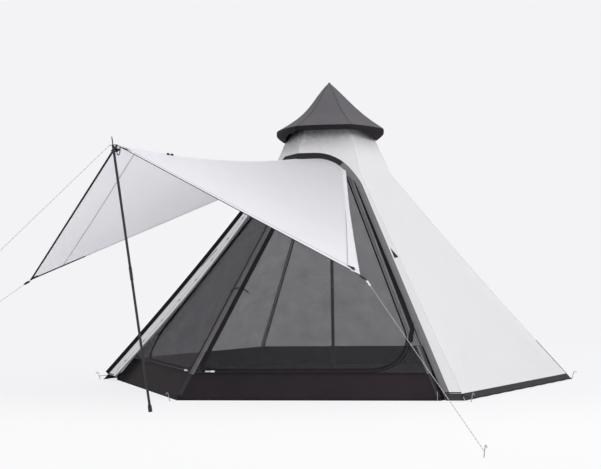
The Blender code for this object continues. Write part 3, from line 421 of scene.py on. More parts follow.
def webbing_material(name, dark, light, rib=0.0022, roughness=0.75):
    """Woven tape: ribs across it, a chevron of threads along it and faintly worn edges."""
    graph = new_look(name)
    along, across = graph.cut()
    slant = graph.math("ADD", along, graph.math("ABSOLUTE", across))
    ribs = graph.math("MULTIPLY", graph.wave(slant, rib), graph.wave(across, rib))
    worn = graph.math("MULTIPLY", graph.noise(25.0), graph.math("MULTIPLY_ADD", ribs, 0.5, 0.5))
    tone = graph.blend(worn, dark, light)
    normal = graph.bump(ribs, 0.0005, 0.6)
    graph.surface(base_color=tone, roughness=roughness, normal=normal, specular_ior_level=MATT)
    graph.finish()


def stitched_material(name, dark, light, thread, stitch=0.0045, row=0.0035, half_line=0.0009, glow=0.0):
    """Seam tape: cloth with a dashed line of stitches along each edge."""
    graph = new_look(name)
    along, across = graph.cut()
    dash = graph.math("GREATER_THAN", graph.math("FRACT", graph.math("DIVIDE", along, stitch)), 0.3)
    off_line = graph.math("ABSOLUTE", graph.math("SUBTRACT", graph.math("ABSOLUTE", across), row))
    sewn = graph.math("MULTIPLY", dash, graph.math("LESS_THAN", off_line, half_line))
    tone = graph.blend(sewn, graph.blend(graph.noise(18.0), dark, light), thread)
    height = graph.math("MULTIPLY_ADD", sewn, 0.5, graph.math("MULTIPLY", graph.weave(0.0012), 0.4))
    normal = graph.bump(height, 0.0006, 0.6)
    graph.surface(base_color=tone, roughness=0.8, normal=normal, specular_ior_level=MATT)
    graph.finish_cloth(glow, color=tone)


def hard_material(name, colour, roughness, metallic=0.0, scratch=0.1):
    """Metal, plastic or rubber with fine scratches, finger marks and a slightly uneven tone."""
    graph = new_look(name)
    marks = graph.noise(220.0, 4.0, (1.0, 1.0, 0.15))
    tone = graph.uneven(12.0, colour, 0.85, 1.15)
    rough = graph.math("MULTIPLY_ADD", marks, scratch, roughness - scratch / 2.0)
    normal = graph.bump(marks, 0.0003, 0.15)
    graph.surface(base_color=tone, roughness=rough, metallic=metallic, normal=normal)
    graph.finish()


def cord_material(name, sheath, fleck):
    """Braided cord: a pale sheath with a darker fleck spiralling round it."""
    graph = new_look(name)
    along, across = graph.cut()
    one_way, other_way = [graph.wave(graph.math(turn, along, across), 0.0030) for turn in ("ADD", "SUBTRACT")]
    strands = graph.math("MULTIPLY", one_way, other_way)
    flecks = graph.math("GREATER_THAN", graph.wave(along, 0.030), 0.86)
    share = graph.math("MAXIMUM", flecks, graph.math("MULTIPLY", strands, 0.35))
    tone = graph.blend(share, sheath, fleck)
    graph.surface(base_color=tone, roughness=0.8, normal=graph.bump(strands, 0.0004, 0.5))
    graph.finish()


def make_looks():
    white = ((0.93, 0.925, 0.94), (0.965, 0.96, 0.97))
    # The fly's neck tone is painted shade under the cap
    cloth_material("fly_cloth", *white, 0.48, neck=(0.16, 0.15, 0.15))
    cloth_material("awning_cloth", (0.91, 0.905, 0.925), (0.95, 0.945, 0.96), 0.67)
    cloth_material("tub_cloth", (0.013, 0.009, 0.011), (0.024, 0.018, 0.021), roughness=0.85)
    cloth_material("cap_cloth", (0.092, 0.088, 0.096), (0.130, 0.126, 0.135), roughness=0.8)
    cloth_material("skirt_cloth", (0.030, 0.028, 0.031), (0.045, 0.042, 0.046), roughness=0.85)
    mesh_material("insect_mesh", (0.085, 0.082, 0.090), 0.17)
    mesh_material("dense_mesh", (0.060, 0.056, 0.064), 0.52)
    webbing_material("dark_binding", (0.008, 0.006, 0.008), (0.022, 0.018, 0.022), roughness=0.85)
    webbing_material("crown_tape", (0.018, 0.015, 0.018), (0.036, 0.032, 0.036), roughness=0.85)
    webbing_material("zip_tape_grey", (0.130, 0.127, 0.136), (0.20, 0.197, 0.207), 0.012)
    stitched_material("fly_seam", (0.50, 0.49, 0.51), (0.60, 0.59, 0.61), (0.20, 0.20, 0.21), glow=0.3)
    stitched_material("hem", *white, (0.82, 0.82, 0.84), glow=0.48)
    stitched_material("cap_seam", (0.090, 0.086, 0.094), (0.125, 0.121, 0.13), (0.06, 0.06, 0.06))
    stitched_material("mesh_seam", (0.13, 0.126, 0.135), (0.19, 0.185, 0.195), (0.010, 0.009, 0.011),
                      0.024, 0.0065, 0.0018)
    hard_material("black_steel", (0.006, 0.005, 0.007), 0.55, scratch=0.2)
    hard_material("grey_steel", (0.33, 0.33, 0.35), 0.38, 0.9, 0.2)
    hard_material("pale_plastic", (0.72, 0.72, 0.73), 0.42)
    hard_material("dark_plastic", (0.022, 0.021, 0.024), 0.45)
    hard_material("grey_plastic", (0.11, 0.108, 0.115), 0.5)
    hard_material("black_rubber", (0.020, 0.020, 0.021), 0.85)
    cord_material("guy_cord", (0.50, 0.50, 0.52), (0.12, 0.12, 0.13))


# Camera, light and ground


def make_camera():
    data = bpy.data.cameras.new("camera")
    data.lens = CAMERA_LENS
    data.clip_end = CAMERA_CLIP_END
    camera = link("camera", data)
    turn = Matrix.Rotation(math.radians(CAMERA_AZIMUTH), 4, "Z")
    tilt = Matrix.Rotation(math.radians(90.0 + CAMERA_RISE), 4, "X")
    roll = Matrix.Rotation(math.radians(CAMERA_ROLL), 4, "Z")
    camera.matrix_world = Matrix.Translation(CAMERA_PLACE) @ turn @ tilt @ roll
    bpy.context.scene.camera = camera


def make_world():
    """Even light all round, and the background's own colour wherever it is seen or mirrored."""
    world = bpy.data.worlds.new("studio")
    graph = Graph(world)
    rays = graph.node("LightPath").outputs
    seen = graph.math("MAXIMUM", rays["Is Camera Ray"], rays["Is Glossy Ray"])
    shown = graph.math("MAXIMUM", seen, rays["Is Transmission Ray"])
    tone = graph.blend(shown, (AMBIENT, AMBIENT, AMBIENT * 1.01), BACKGROUND)
    graph.feed(graph.tree.nodes["Background"], "Color", tone)
    bpy.context.scene.world = world


def make_key_light():
    data = bpy.data.lights.new("key", "AREA")
    data.energy = KEY_WATTS
    data.size = KEY_SIZE
    aim = (KEY_AIM - KEY_PLACE).to_track_quat("-Z", "Y")
    link("key", data).matrix_world = Matrix.Translation(KEY_PLACE) @ aim.to_matrix().to_4x4()


def make_floor():
    """Pale ground that keeps a soft shadow; seen directly, it fades into the background."""
    mesh = bpy.data.meshes.new("floor")
    corners = [(x * FLOOR_REACH, y * FLOOR_REACH, 0.0) for x, y in ((-1, -1), (1, -1), (1, 1), (-1, 1))]
    mesh.from_pydata(corners, [], [(0, 1, 2, 3)])
    graph = new_look("floor")
    place = graph.metres()
    away = graph.node("VectorMath", {0: place}, operation="LENGTH").outputs["Value"]
    front = graph.ramp(graph.split(place)[1], *FLOOR_FRONT)
    near = graph.ramp(away, *FLOOR_NEAR)
    tone = graph.blend(graph.math("MULTIPLY", front, near), BACKGROUND, NEAR_FLOOR)
    graph.surface(base_color=tone, roughness=0.9)
    glow = graph.node("Emission", {"Color": tone, "Strength": 1.0})
    plain = graph.ramp(away, *SHADOW_FADE, 0.82, 1.0)
    share = graph.math("MULTIPLY", graph.node("LightPath").outputs["Is Camera Ray"], plain)
    mesh.materials.append(graph.finish(graph.mixed(share, graph.shader, glow)))
    link("floor", mesh)


# Meshes


def add_piece(name, mesh, looks, body="tent", replaced=()):
    """Link a mesh as one piece, dressed in one look or several, on its body and in its material slot."""
    names = [looks] if isinstance(looks, str) else looks
    for look in names:
        mesh.materials.append(LOOKS[look])
    piece = link(name, mesh)
    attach(piece, body)
    if replaced:
        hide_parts(*replaced)
    return piece


def build_mesh(name, points, faces, cuts, tints=None, crease=38.0):
    """Closed mesh with outward faces, a UV layer in metres of cloth, and creases kept sharp."""
    mesh = bpy.data.meshes.new(name)
    mesh.from_pydata([tuple(point) for point in points], [], faces)
    layer = mesh.uv_layers.new(name="cut")
    for loop in mesh.loops:
        layer.data[loop.index].uv = cuts[loop.vertex_index]
    if tints:
        for polygon, tint in zip(mesh.polygons, tints):
            polygon.material_index = tint
    shape = bmesh.new()
    shape.from_mesh(mesh)
    bmesh.ops.recalc_face_normals(shape, faces=shape.faces)
    shape.to_mesh(mesh)
    shape.free()
    mesh.shade_smooth()
    mesh.set_sharp_from_angle(angle=math.radians(crease))
    return mesh


def grid_normals(grid, outward):
    rows = len(grid)
    columns = len(grid[0])
    normals = []
    for row in range(rows):
        for column in range(columns):
            up = grid[min(row + 1, rows - 1)][column] - grid[max(row - 1, 0)][column]
            side = grid[row][min(column + 1, columns - 1)] - grid[row][max(column - 1, 0)]
            normal = side.cross(up)
            if normal.length < 1e-9:
                normal = outward.copy()
            if normal.dot(outward) < 0.0:
                normal.negate()
            normals.append(normal.normalized())
    return normals


def sheet_mesh(name, grid, outward, lift=LIFT, thickness=CLOTH, tint=None):
    """Thin closed sheet over a grid of points, on the side that outward points to."""
    rows = len(grid)
    columns = len(grid[0])
    normals = grid_normals(grid, outward)
    flat = [point for line in grid for point in line]
    lower = [point + normal * lift for point, normal in zip(flat, normals)]
    upper = [point + normal * (lift + thickness) for point, normal in zip(flat, normals)]
    middle = [line[columns // 2] for line in grid]
    along = 0.0
    cuts = []
    for row, line in enumerate(grid):
        if row:
            along += (middle[row] - middle[row - 1]).length
        width = (line[-1] - line[0]).length
        cuts += [(along, width * (column / (columns - 1) - 0.5)) for column in range(columns)]
    count = rows * columns
    faces = []
    tints = []
    for row in range(rows - 1):
        for column in range(columns - 1):
            a = row * columns + column
            c = a + 1 + columns
            for half in ((a, a + 1, c), (a, c, a + columns)):
                faces.append(half)
                faces.append(tuple(count + corner for corner in reversed(half)))
                tints += [tint(row, column) if tint else 0] * 2
    rim = list(range(columns))
    rim += [row * columns + columns - 1 for row in range(1, rows)]
    rim += [(rows - 1) * columns + column for column in range(columns - 2, -1, -1)]
    rim += [row * columns for row in range(rows - 2, 0, -1)]
    for start, end in zip(rim, rim[1:] + rim[:1]):
        faces.append((start, end, count + end, count + start))
        tints.append(0)
    return build_mesh(name, lower + upper, faces, cuts + cuts, tints)


def grid_area(grid):
    area = 0.0
    for lower, upper in zip(grid, grid[1:]):
        for column in range(len(lower) - 1):
            one = upper[column + 1] - lower[column]
            two = upper[column] - lower[column + 1]
            area += one.cross(two).length / 2.0
    return area


def run_length(line):
    return sum((after - before).length for before, after in zip(line, line[1:]))


def grid_cut(grid):
    """Sides of the smallest rectangle that a panel, or the straight tape, is cut from, and its area."""
    normal = (grid[-1][-1] - grid[0][0]).cross(grid[-1][0] - grid[0][-1])
    level = Vector((0.0, 0.0, 1.0)).cross(normal).normalized()
    rise = normal.cross(level).normalized()
    best = None
    for turn in range(0, 90, 3):
        along = level * math.cos(math.radians(turn)) + rise * math.sin(math.radians(turn))
        sizes = []
        for axis in (along, along.cross(normal).normalized()):
            reach = [point.dot(axis) for row in grid for point in row]
            sizes.append(round(max(reach) - min(reach) + 0.005, 2))
        if best is None or sizes[0] * sizes[1] < best[0] * best[1]:
            best = sizes
    area = grid_area(grid)
    if area < 0.31 * best[0] * best[1]:
        best = [round(max(run_length(line) for line in lines) + 0.005, 2) for lines in (grid, zip(*grid))]
    return best, area


def declare_sheet(piece, grid):
    flat, area = grid_cut(grid)


def add_sheet(name, grid, outward, looks, replaced=(), tint=None, thickness=CLOTH):
    mesh = sheet_mesh(name, grid, outward, thickness=thickness, tint=tint)
    declare_sheet(add_piece(name, mesh, looks, replaced=replaced), grid)


def rings_mesh(name, rings, cuts_across, closed_loop=False, crease=38.0):
    """Loft through rings of equal count; UVs hold metres along and the given distances across."""
    count = len(rings[0])
    points = [point for ring in rings for point in ring]
    middles = [sum(ring, Vector()) / count for ring in rings]
    cuts = []
    along = 0.0
    for index, middle in enumerate(middles):
        if index:
            along += (middle - middles[index - 1]).length
        cuts += [(along, across) for across in cuts_across]
    faces = []
    for level in range(len(rings) if closed_loop else len(rings) - 1):
        base = level * count
        above = ((level + 1) % len(rings)) * count
        for index in range(count):
            after = (index + 1) % count
            faces.append((base + index, base + after, above + after, above + index))
    if not closed_loop:
        last = (len(rings) - 1) * count
        faces.append(tuple(range(count - 1, -1, -1)))
        faces.append(tuple(range(last, last + count)))
    return build_mesh(name, points, faces, cuts, crease=crease)


def add_ribbon(name, path, outward, width, look, thickness):
    """Flat strip along a path: seven points round a section with eased edges."""
    half = width / 2.0
    flat = half - min(thickness, half) * 0.6
    edge = thickness * 0.35
    section = (
        (-flat, 0.0),
        (flat, 0.0),
        (half, edge),
        (flat, thickness),
        (0.0, thickness),
        (-flat, thickness),
        (-half, edge),
    )
    rings = []
    for index, point in enumerate(path):
        ahead = path[min(index + 1, len(path) - 1)] - path[max(index - 1, 0)]
        across = outward.cross(ahead).normalized()
        normal = ahead.cross(across).normalized()
        rings.append([point + across * side + normal * up for side, up in section])
    mesh = rings_mesh(name, rings, (-half, half, half, half, 0.0, -half, -half))
    return add_piece(name, mesh, look)


def on_cloth(line, face, gap=0.0):
    """A line on a face's surface, raised to the top of the cloth that lies there."""
    return [point + face.outward * (LIFT + CLOTH + gap) for point in line]


def sew(name, line, face, width, look, thickness, gap=0.0):
    """Ribbon laid flat on a face's cloth."""
    add_ribbon(name, on_cloth(line, face, gap), face.outward, width, look, thickness)


def tube_rings(path, radius_at, sides):
    across = Vector((0.0, 0.0, 1.0)).cross(path[1] - path[0]).normalized()
    rings = []
    for index, point in enumerate(path):
        along = (path[min(index + 1, len(path) - 1)] - path[max(index - 1, 0)]).normalized()
        across = (across - along * across.dot(along)).normalized()
        other = along.cross(across)
        turns = [2.0 * math.pi * side / sides for side in range(sides)]
        rings.append([point + (across * math.cos(turn) + other * math.sin(turn)) * radius_at(index)
                      for turn in turns])
    return rings


def add_tube(name, path, radius, look, sides=6, body="tent", replaced=(), radius_at=None):
    rings = tube_rings(path, radius_at or (lambda index: radius), sides)
    around = [2.0 * math.pi * radius * side / sides for side in range(sides)]
    return add_piece(name, rings_mesh(name, rings, around, crease=60.0), look, body, replaced)


def resample(path, step):
    """Points at an even step along a path."""
    marks = [0.0]
    for before, after in zip(path, path[1:]):
        marks.append(marks[-1] + (after - before).length)
    count = max(2, round(marks[-1] / step))
    points = []
    at = 0
    for index in range(count + 1):
        place = marks[-1] * index / count
        while at < len(marks) - 2 and marks[at + 1] < place:
            at += 1
        span = marks[at + 1] - marks[at]
        points.append(path[at].lerp(path[at + 1], (place - marks[at]) / span if span else 0.0))
    return points


def add_zip_coil(name, path, outward, look, radius, step):
    """Coil of a zip: a ribbed bead along a path, raised on a surface."""
    line = [point + outward * radius for point in resample(path, step)]
    add_tube(name, line, radius, look, radius_at=lambda index: radius * (1.0 if index % 2 else 0.72))


# Shared surfaces of the flysheet, the inner tent and the awning


def fly_radius(corner, height):
    """Corner radius of the flysheet's ridges, with a soft bend at the shoulder."""
    if height > FLY_NECK_HEIGHT:
        share = (height - FLY_NECK_HEIGHT) / (FLY_TOP_HEIGHT - FLY_NECK_HEIGHT)
        return FLY_NECK_RADIUS + (FLY_TOP_RADIUS - FLY_NECK_RADIUS) * share
    foot, sag = FLY_RIDGES[corner]
    share = height / FLY_SHOULDER_HEIGHT
    slope = foot + (FLY_SHOULDER_RADIUS - foot) * share
    if share < 1.0:
        slope -= sag * math.sin(math.pi * share)
    above = height - FLY_SHOULDER_HEIGHT
    rise = above / (FLY_NECK_HEIGHT - FLY_SHOULDER_HEIGHT)
    neck = FLY_SHOULDER_RADIUS + (FLY_NECK_RADIUS - FLY_SHOULDER_RADIUS) * rise
    return slope + (neck - slope) * ease((above + FLY_SHOULDER_SOFTNESS) / (2.0 * FLY_SHOULDER_SOFTNESS))


def fly_ridge(corner, height):
    spread = FRONT_RIGHT_SPREAD if corner == "front_right" else 0.0
    return polar(fly_radius(corner, height), CORNERS[corner] + spread, height)


class FlyFace:
    """One face of the flysheet, addressed by a share across from its first corner and a height."""

    def __init__(self, name):
        self.first, self.second = FACES[name]
        foot = fly_ridge(self.first, 0.0)
        across = fly_ridge(self.second, 0.0) - foot
        slope = fly_ridge(self.first, 1.4) - foot
        self.outward = across.cross(slope).normalized()

    def width(self, height):
        return (fly_ridge(self.second, height) - fly_ridge(self.first, height)).length

    def point(self, share, height, sag=0.0):
        first = fly_ridge(self.first, height)
        second = fly_ridge(self.second, height)
        across = (second - first).normalized() * SEAM_GAP
        drop = 0.0
        if height < FLY_SHOULDER_HEIGHT:
            drop = sag * 4.0 * share * (1.0 - share) * math.sin(math.pi * height / FLY_SHOULDER_HEIGHT)
        return (first + across).lerp(second - across, share) - self.outward * drop

    def at(self, distance, height, sag=0.0):
        """Point at a distance from the first ridge, or from the second if it is negative."""
        share = distance / self.width(height)
        return self.point(share if distance >= 0.0 else 1.0 + share, height, sag)


class InnerFace:
    """Flat face of the inner tent with a frame: X along the base, Y up the slope, Z outwards."""

    def __init__(self, name):
        left, right = [polar(INNER_CORNER_RADIUS, CORNERS[corner], 0.0) for corner in FACES[name]]
        middle = (left + right) / 2.0
        slope = Vector((0.0, 0.0, INNER_APEX_HEIGHT)) - middle
        self.half_base = (right - left).length / 2.0
        self.slant = slope.length
        along = (right - left).normalized()
        self.outward = along.cross(slope.normalized())
        self.frame = Matrix((along, slope.normalized(), self.outward)).transposed().to_4x4()
        self.frame.translation = middle

    def half(self, up):
        return self.half_base * (1.0 - up / self.slant)

    def up(self, height):
        return self.slant * height / INNER_APEX_HEIGHT

    def place(self, x, y, z=0.0):
        return self.frame @ Vector((x, y, z))


class Arch:
    """Half of the zip arch on one front face, in distance from the outer ridge and height."""

    def __init__(self, name):
        self.face = FlyFace(name)
        self.foot, self.head, self.bow, self.reach = ARCH_SIDES[name]
        self.mirrored = name == "front"

    def strip(self, height):
        share = height / ARCH_SPRING_HEIGHT
        return self.foot + (self.head - self.foot) * share + self.bow * math.sin(math.pi * share)

    def share(self, distance, height):
        share = distance / self.face.width(height)
        return 1.0 - share if self.mirrored else share

    def curve(self, inward):
        """Points of the arch, moved inwards into the opening by a width."""
        sides = spaced(FLY_HEM_HEIGHT, ARCH_SPRING_HEIGHT, ARCH_SIDE_STEPS)
        points = [(self.strip(height) + inward, height) for height in sides]
        rise = ARCH_CROWN_HEIGHT - ARCH_SPRING_HEIGHT
        for share in spaced(0.0, 1.0, ARCH_TURN_STEPS)[1:]:
            angle = math.radians(90.0) * share
            distance = self.head + self.reach - (self.reach - inward) * math.cos(angle)
            points.append((distance, ARCH_SPRING_HEIGHT + (rise - inward) * math.sin(angle)))
        turned, crown = points[-1]
        level = spaced(turned, self.face.width(crown), ARCH_CROWN_STEPS)[1:]
        return points + [(distance, crown) for distance in level]

    def place(self, distance, height):
        return self.face.point(self.share(distance, height), height)

    def line(self, inward, start=0, end=None):
        return [self.place(distance, height) for distance, height in self.curve(inward)[start:end]]


def corner_pull(point, corner, reach, rays, depth):
    """Depth of the creases that fan out from a corner where the cloth is pulled."""
    away = point - corner
    distance = away.length / reach
    if distance > 3.0 or distance < 0.25:
        return 0.0
    turn = math.atan2(away.z, math.hypot(away.x, away.y))
    begun = ease((distance - 0.25) / 0.5)
    return depth * math.sin(turn * rays) * begun * distance * math.exp(1.0 - distance) * 0.7


def drape(point, depth=0.005, scale=1.6):
    """Soft unevenness of tensioned cloth."""
    return depth * (noise.noise(point * scale) + 0.4 * noise.noise(point * scale * 2.7))


# Flysheet


def fly_wrinkle(face, point, share, height):
    """Creases of one flysheet panel, none along its seams."""
    held = ease(min(share, 1.0 - share) / 0.06) * ease((height - FLY_HEM_HEIGHT) / 0.08)
    held *= 1.0 - ease((height - 1.35) / 0.25)
    pull = 0.0
    for corner in (face.first, face.second):
        pull += corner_pull(point, fly_ridge(corner, 0.0), CREASE_REACH, 24.0, 0.007)
        pull += corner_pull(point, fly_ridge(corner, FLY_SHOULDER_HEIGHT), CREASE_REACH, 26.0, 0.003)
    return (drape(point) - FLY_SLACK + pull) * held


def make_fly_panels():
    heights = spaced(FLY_HEM_HEIGHT, 1.44, 30) + spaced(1.47, 1.74, 9) + spaced(1.80, FLY_TOP_HEIGHT, 6)
    for name in FULL_PANELS:
        face = FlyFace(name)
        grid = []
        for height in heights:
            row = []
            for share in spaced(0.0, 1.0, 40):
                point = face.point(share, height, FLY_PANEL_SAG)
                row.append(point + face.outward * fly_wrinkle(face, point, share, height))
            grid.append(row)
        add_sheet("fly_panel_" + name, grid, face.outward, "fly_cloth", ["fly_" + name])
        rise = (grid[1][20] - grid[0][20]).normalized() * 0.006
        sew("fly_hem_" + name, [point + rise for point in grid[0]], face, 0.012, "hem", 0.0008)
        foot = [face.at(-0.005, height, FLY_PANEL_SAG)
                for height in spaced(FLY_HEM_HEIGHT, CORNER_BINDING_TOP, 10)]
        sew("fly_corner_binding_" + name, foot, face, 0.009, "dark_binding", 0.0009, 0.0007)
        for side, inset in (("first", FLY_SEAM_INSET), ("second", -FLY_SEAM_INSET)):
            seam = [face.at(inset, height, FLY_PANEL_SAG)
                    for height in spaced(FLY_HEM_HEIGHT, FLY_NECK_HEIGHT, 40)]
            sew("fly_seam_%s_%s" % (name, side), seam, face, FLY_SEAM_WIDTH, "hem", 0.0007)


def make_skirts():
    """Dark mud skirt below each full panel, slightly gathered, with a bound lower edge."""
    for name in FULL_PANELS:
        face = FlyFace(name)
        grid = []
        for height in spaced(SKIRT_BASE, FLY_HEM_HEIGHT - SEAM_GAP, 5):
            slack = 1.0 - (height - SKIRT_BASE) / (FLY_HEM_HEIGHT - SKIRT_BASE)
            row = []
            for share in spaced(0.0, 1.0, 60):
                point = face.point(share, height)
                ripple = SKIRT_GATHER_DEPTH * math.sin(share * SKIRT_GATHERS)
                ripple += 0.0014 * noise.noise(point * 9.0)
                row.append(point + face.outward * ripple * slack * ease(min(share, 1.0 - share) / 0.04))
            grid.append(row)
        add_sheet("skirt_cloth_" + name, grid, face.outward, "skirt_cloth", ["skirt_" + name])
        edge = [point + Vector((0.0, 0.0, 0.004)) for point in grid[0]]
        sew("skirt_edge_" + name, edge, face, 0.008, "dark_binding", 0.0008)


def make_arch_cloth(name, arch):
    """Edge strip beside the opening, and the yoke over it, up the neck."""
    face = arch.face
    grid = []
    for height in spaced(FLY_HEM_HEIGHT, ARCH_SPRING_HEIGHT - SEAM_GAP, 30):
        grid.append([arch.place(distance, height) for distance in spaced(0.0, arch.strip(height), 4)])
    add_sheet("fly_edge_" + name, grid, face.outward, "fly_cloth", ["fly_" + name + "_strip"])
    lower = [(distance, ARCH_SPRING_HEIGHT) for distance in spaced(0.0, arch.head, 3)]
    lower += arch.curve(0.0)[ARCH_SIDE_STEPS + 1:]
    shares = [arch.share(distance, height) for distance, height in lower]
    grid = []
    for rise in spaced(0.0, 1.0, 8):
        grid.append([face.point(share, height + (YOKE_LEVEL - height) * rise)
                     for (_, height), share in zip(lower, shares)])
    for height in spaced(YOKE_LEVEL, FLY_NECK_HEIGHT, 5)[1:] + spaced(FLY_NECK_HEIGHT, FLY_TOP_HEIGHT, 4)[1:]:
        grid.append([face.point(share, height) for share in shares])
    add_sheet("fly_neck_" + name, grid, face.outward, "fly_cloth", ["fly_" + name + "_yoke"])


def make_arch_tape(name, arch):
    """Zip tape round the opening: black crown, white or grey leg, seams, flap, coil and foot binding."""
    face = arch.face
    white = name == "left_front"
    leg = "fly_cloth" if white else "zip_tape_grey"
    grid = [arch.line(inward) for inward in spaced(SEAM_GAP, ARCH_TAPE_WIDTH, 4)]
    add_sheet("arch_tape_" + name, grid, face.outward, ("crown_tape", leg), ["fly_" + name + "_zip"],
              lambda row, column: 1 if column < ARCH_LEG_END else 0)
    outer = "fly_seam" if white else leg
    inner = "hem" if white else leg
    seam = ARCH_TAPE_WIDTH - 0.005
    sew("arch_seam_outer_" + name, arch.line(0.004, 0, ARCH_LEG_END), face, 0.006, outer, 0.0008)
    sew("arch_crown_seam_" + name, arch.line(0.004, ARCH_LEG_END), face, 0.006, "dark_binding", 0.0008)
    sew("arch_seam_inner_" + name, arch.line(seam, 0, ARCH_LEG_END), face, 0.009, inner, 0.0008)
    if white:
        grid = [arch.line(inward, 0, ARCH_SIDE_STEPS + 1)
                for inward in spaced(ARCH_TAPE_WIDTH + SEAM_GAP, ARCH_TAPE_WIDTH + ZIP_FLAP_WIDTH, 4)]
        add_sheet("arch_zip_flap", grid, face.outward, "fly_cloth")
    coil = arch.line(ARCH_TAPE_WIDTH + (ZIP_FLAP_WIDTH - 0.006 if white else -0.010), 0, ARCH_SIDE_STEPS + 1)
    add_zip_coil("arch_zip_" + name, on_cloth(coil, face), face.outward,
                 "dark_plastic" if white else "grey_plastic", 0.0040 if white else 0.0022, 0.010)
    foot = [arch.place(distance, FLY_HEM_HEIGHT + 0.005)
            for distance in spaced(0.002, arch.foot + ARCH_TAPE_WIDTH - 0.002, 6)]
    sew("arch_foot_binding_" + name, foot, face, 0.009, "dark_binding", 0.0009)


def make_left_arch_trim(arch):
    """Row of buttons beside the left zip tape, and the hook on the strip."""
    face = arch.face
    for index, height in enumerate(spaced(LOWEST_BUTTON, HIGHEST_BUTTON, BUTTON_GAPS)):
        spot = [arch.place(arch.strip(height) + 0.003, height + rise) for rise in (-0.007, 0.0, 0.007)]
        sew("arch_button_%d" % index, spot, face, 0.012, "dark_binding", 0.003)
    hook = [arch.place(arch.strip(height) * share, height) for share, height in ARCH_HOOK]
    add_tube("arch_hook", resample(on_cloth(hook, face, 0.002), 0.012), 0.0022, "dark_binding")


def make_right_arch_trim(arch):
    """Guy-out tab beside the right ridge, and the short skirt under the strip."""
    face = arch.face
    base = on_cloth([arch.place(*spot) for spot in GUY_OUT_TAB], face)
    top = [point + face.outward * 0.0016 for point in base]
    tab = rings_mesh("guy_out_tab", [base, top], (0.0, 0.02, 0.04))
    add_piece("guy_out_tab", tab, "skirt_cloth")
    grid = [[arch.place(distance, height) for distance in spaced(0.002, arch.foot + ARCH_TAPE_WIDTH, 6)]
            for height in spaced(SKIRT_BASE, FLY_HEM_HEIGHT - SEAM_GAP, 5)]
    add_sheet("arch_foot_skirt", grid, face.outward, "skirt_cloth")


def make_arches():
    for name in ARCH_SIDES:
        arch = Arch(name)
        make_arch_cloth(name, arch)
        make_arch_tape(name, arch)
        if arch.mirrored:
            make_right_arch_trim(arch)
        else:
            make_left_arch_trim(arch)


def make_ridge_webbing():
    """Webbing along the flysheet's left ridge, folded over it into a fin."""
    wing = RIDGE_WEBBING_WING
    fin = RIDGE_WEBBING_FIN
    rear = FlyFace("left_rear")
    front = FlyFace("left_front")
    outward = (rear.outward + front.outward).normalized()
    thick = 0.0016
    fold = (front.outward - rear.outward).normalized() * thick * 0.6
    clear = LIFT + CLOTH + 0.0003
    rings = []
    for height in spaced(FLY_HEM_HEIGHT, FLY_SHOULDER_HEIGHT, 60):
        crest = fly_ridge("left", height) + outward * clear * 1.4
        root = crest + outward * thick
        edge = crest + outward * fin + fold * 1.5 * noise.noise(Vector((height * 6.0, 0.0, 0.0)))
        back = rear.at(-wing, height) + rear.outward * clear
        fore = front.at(wing, height) + front.outward * clear
        rings.append([back, crest, fore, fore + front.outward * thick, root + fold, edge + fold, edge - fold,
                      root - fold, back + rear.outward * thick])
    mesh = rings_mesh("left_ridge_webbing", rings, (-wing, 0.0, wing, wing, 0.002, fin, fin, -0.002, -wing))
    add_piece("left_ridge_webbing", mesh, "dark_binding", replaced=["fly_left_ridge_webbing"])


# Peak cap


def cap_share(height):
    return min(1.0, (CAP_APEX_HEIGHT - height) / CAP_DEPTH)


def cap_waist(height):
    return math.sin(math.pi * cap_share(height) ** CAP_WAIST_POWER)


def cap_radius(height):
    """Corner radius of the cap: a cone drawn in at its waist."""
    share = (CAP_APEX_HEIGHT - height) / CAP_DEPTH
    return CAP_RIM_RADIUS * share - CAP_WAIST_DRAW * cap_waist(height)


def cap_point(radius, azimuth, height, drop=0.0, curl=0.0, hollow=0.0):
    """Point of the cap: it leans, its facets are hollow, and its brim hangs and curls at both sides."""
    off_corner = math.radians((azimuth + 30.0) % 60.0 - 30.0)
    flat = math.cos(math.radians(30.0)) / math.cos(math.radians(30.0) - abs(off_corner))
    draped = (1.0 - CAP_DRAPE) + CAP_DRAPE * flat
    waist = cap_waist(height)
    rightwards = math.cos(math.radians(azimuth))
    sideways = abs(rightwards) ** VALANCE_SIDE_POWER
    dent = hollow * waist * (1.0 - flat) / CAP_FACET_SETBACK
    reach = (radius + CAP_WAIST_LEAN * waist * rightwards - curl * sideways) * draped - dent
    return polar(reach, azimuth, height - drop * sideways)


def cap_ring(radius, height, drop=0.0, curl=0.0, hollow=0.0):
    step = 360.0 / CAP_SIDES
    return [cap_point(radius, step * index, height, drop, curl, hollow) for index in range(CAP_SIDES)]


# Section of the cap's brim: outwards, share of the drop, share of the side curl
BRIM_SECTION = (
    (-0.0030, 0.0, 0.0),
    (0.0005, 0.0, 0.0),
    (0.0045, 0.22, 0.0),
    (0.0060, 0.50, 0.10),
    (0.0055, 0.72, 0.45),
    (0.0035, 0.90, 0.80),
    (0.0005, 1.0, 1.0),
    (-0.0030, 0.98, 1.0),
    (-0.0005, 0.88, 0.78),
    (0.0018, 0.70, 0.43),
    (0.0024, 0.50, 0.10),
    (0.0008, 0.22, 0.0),
)


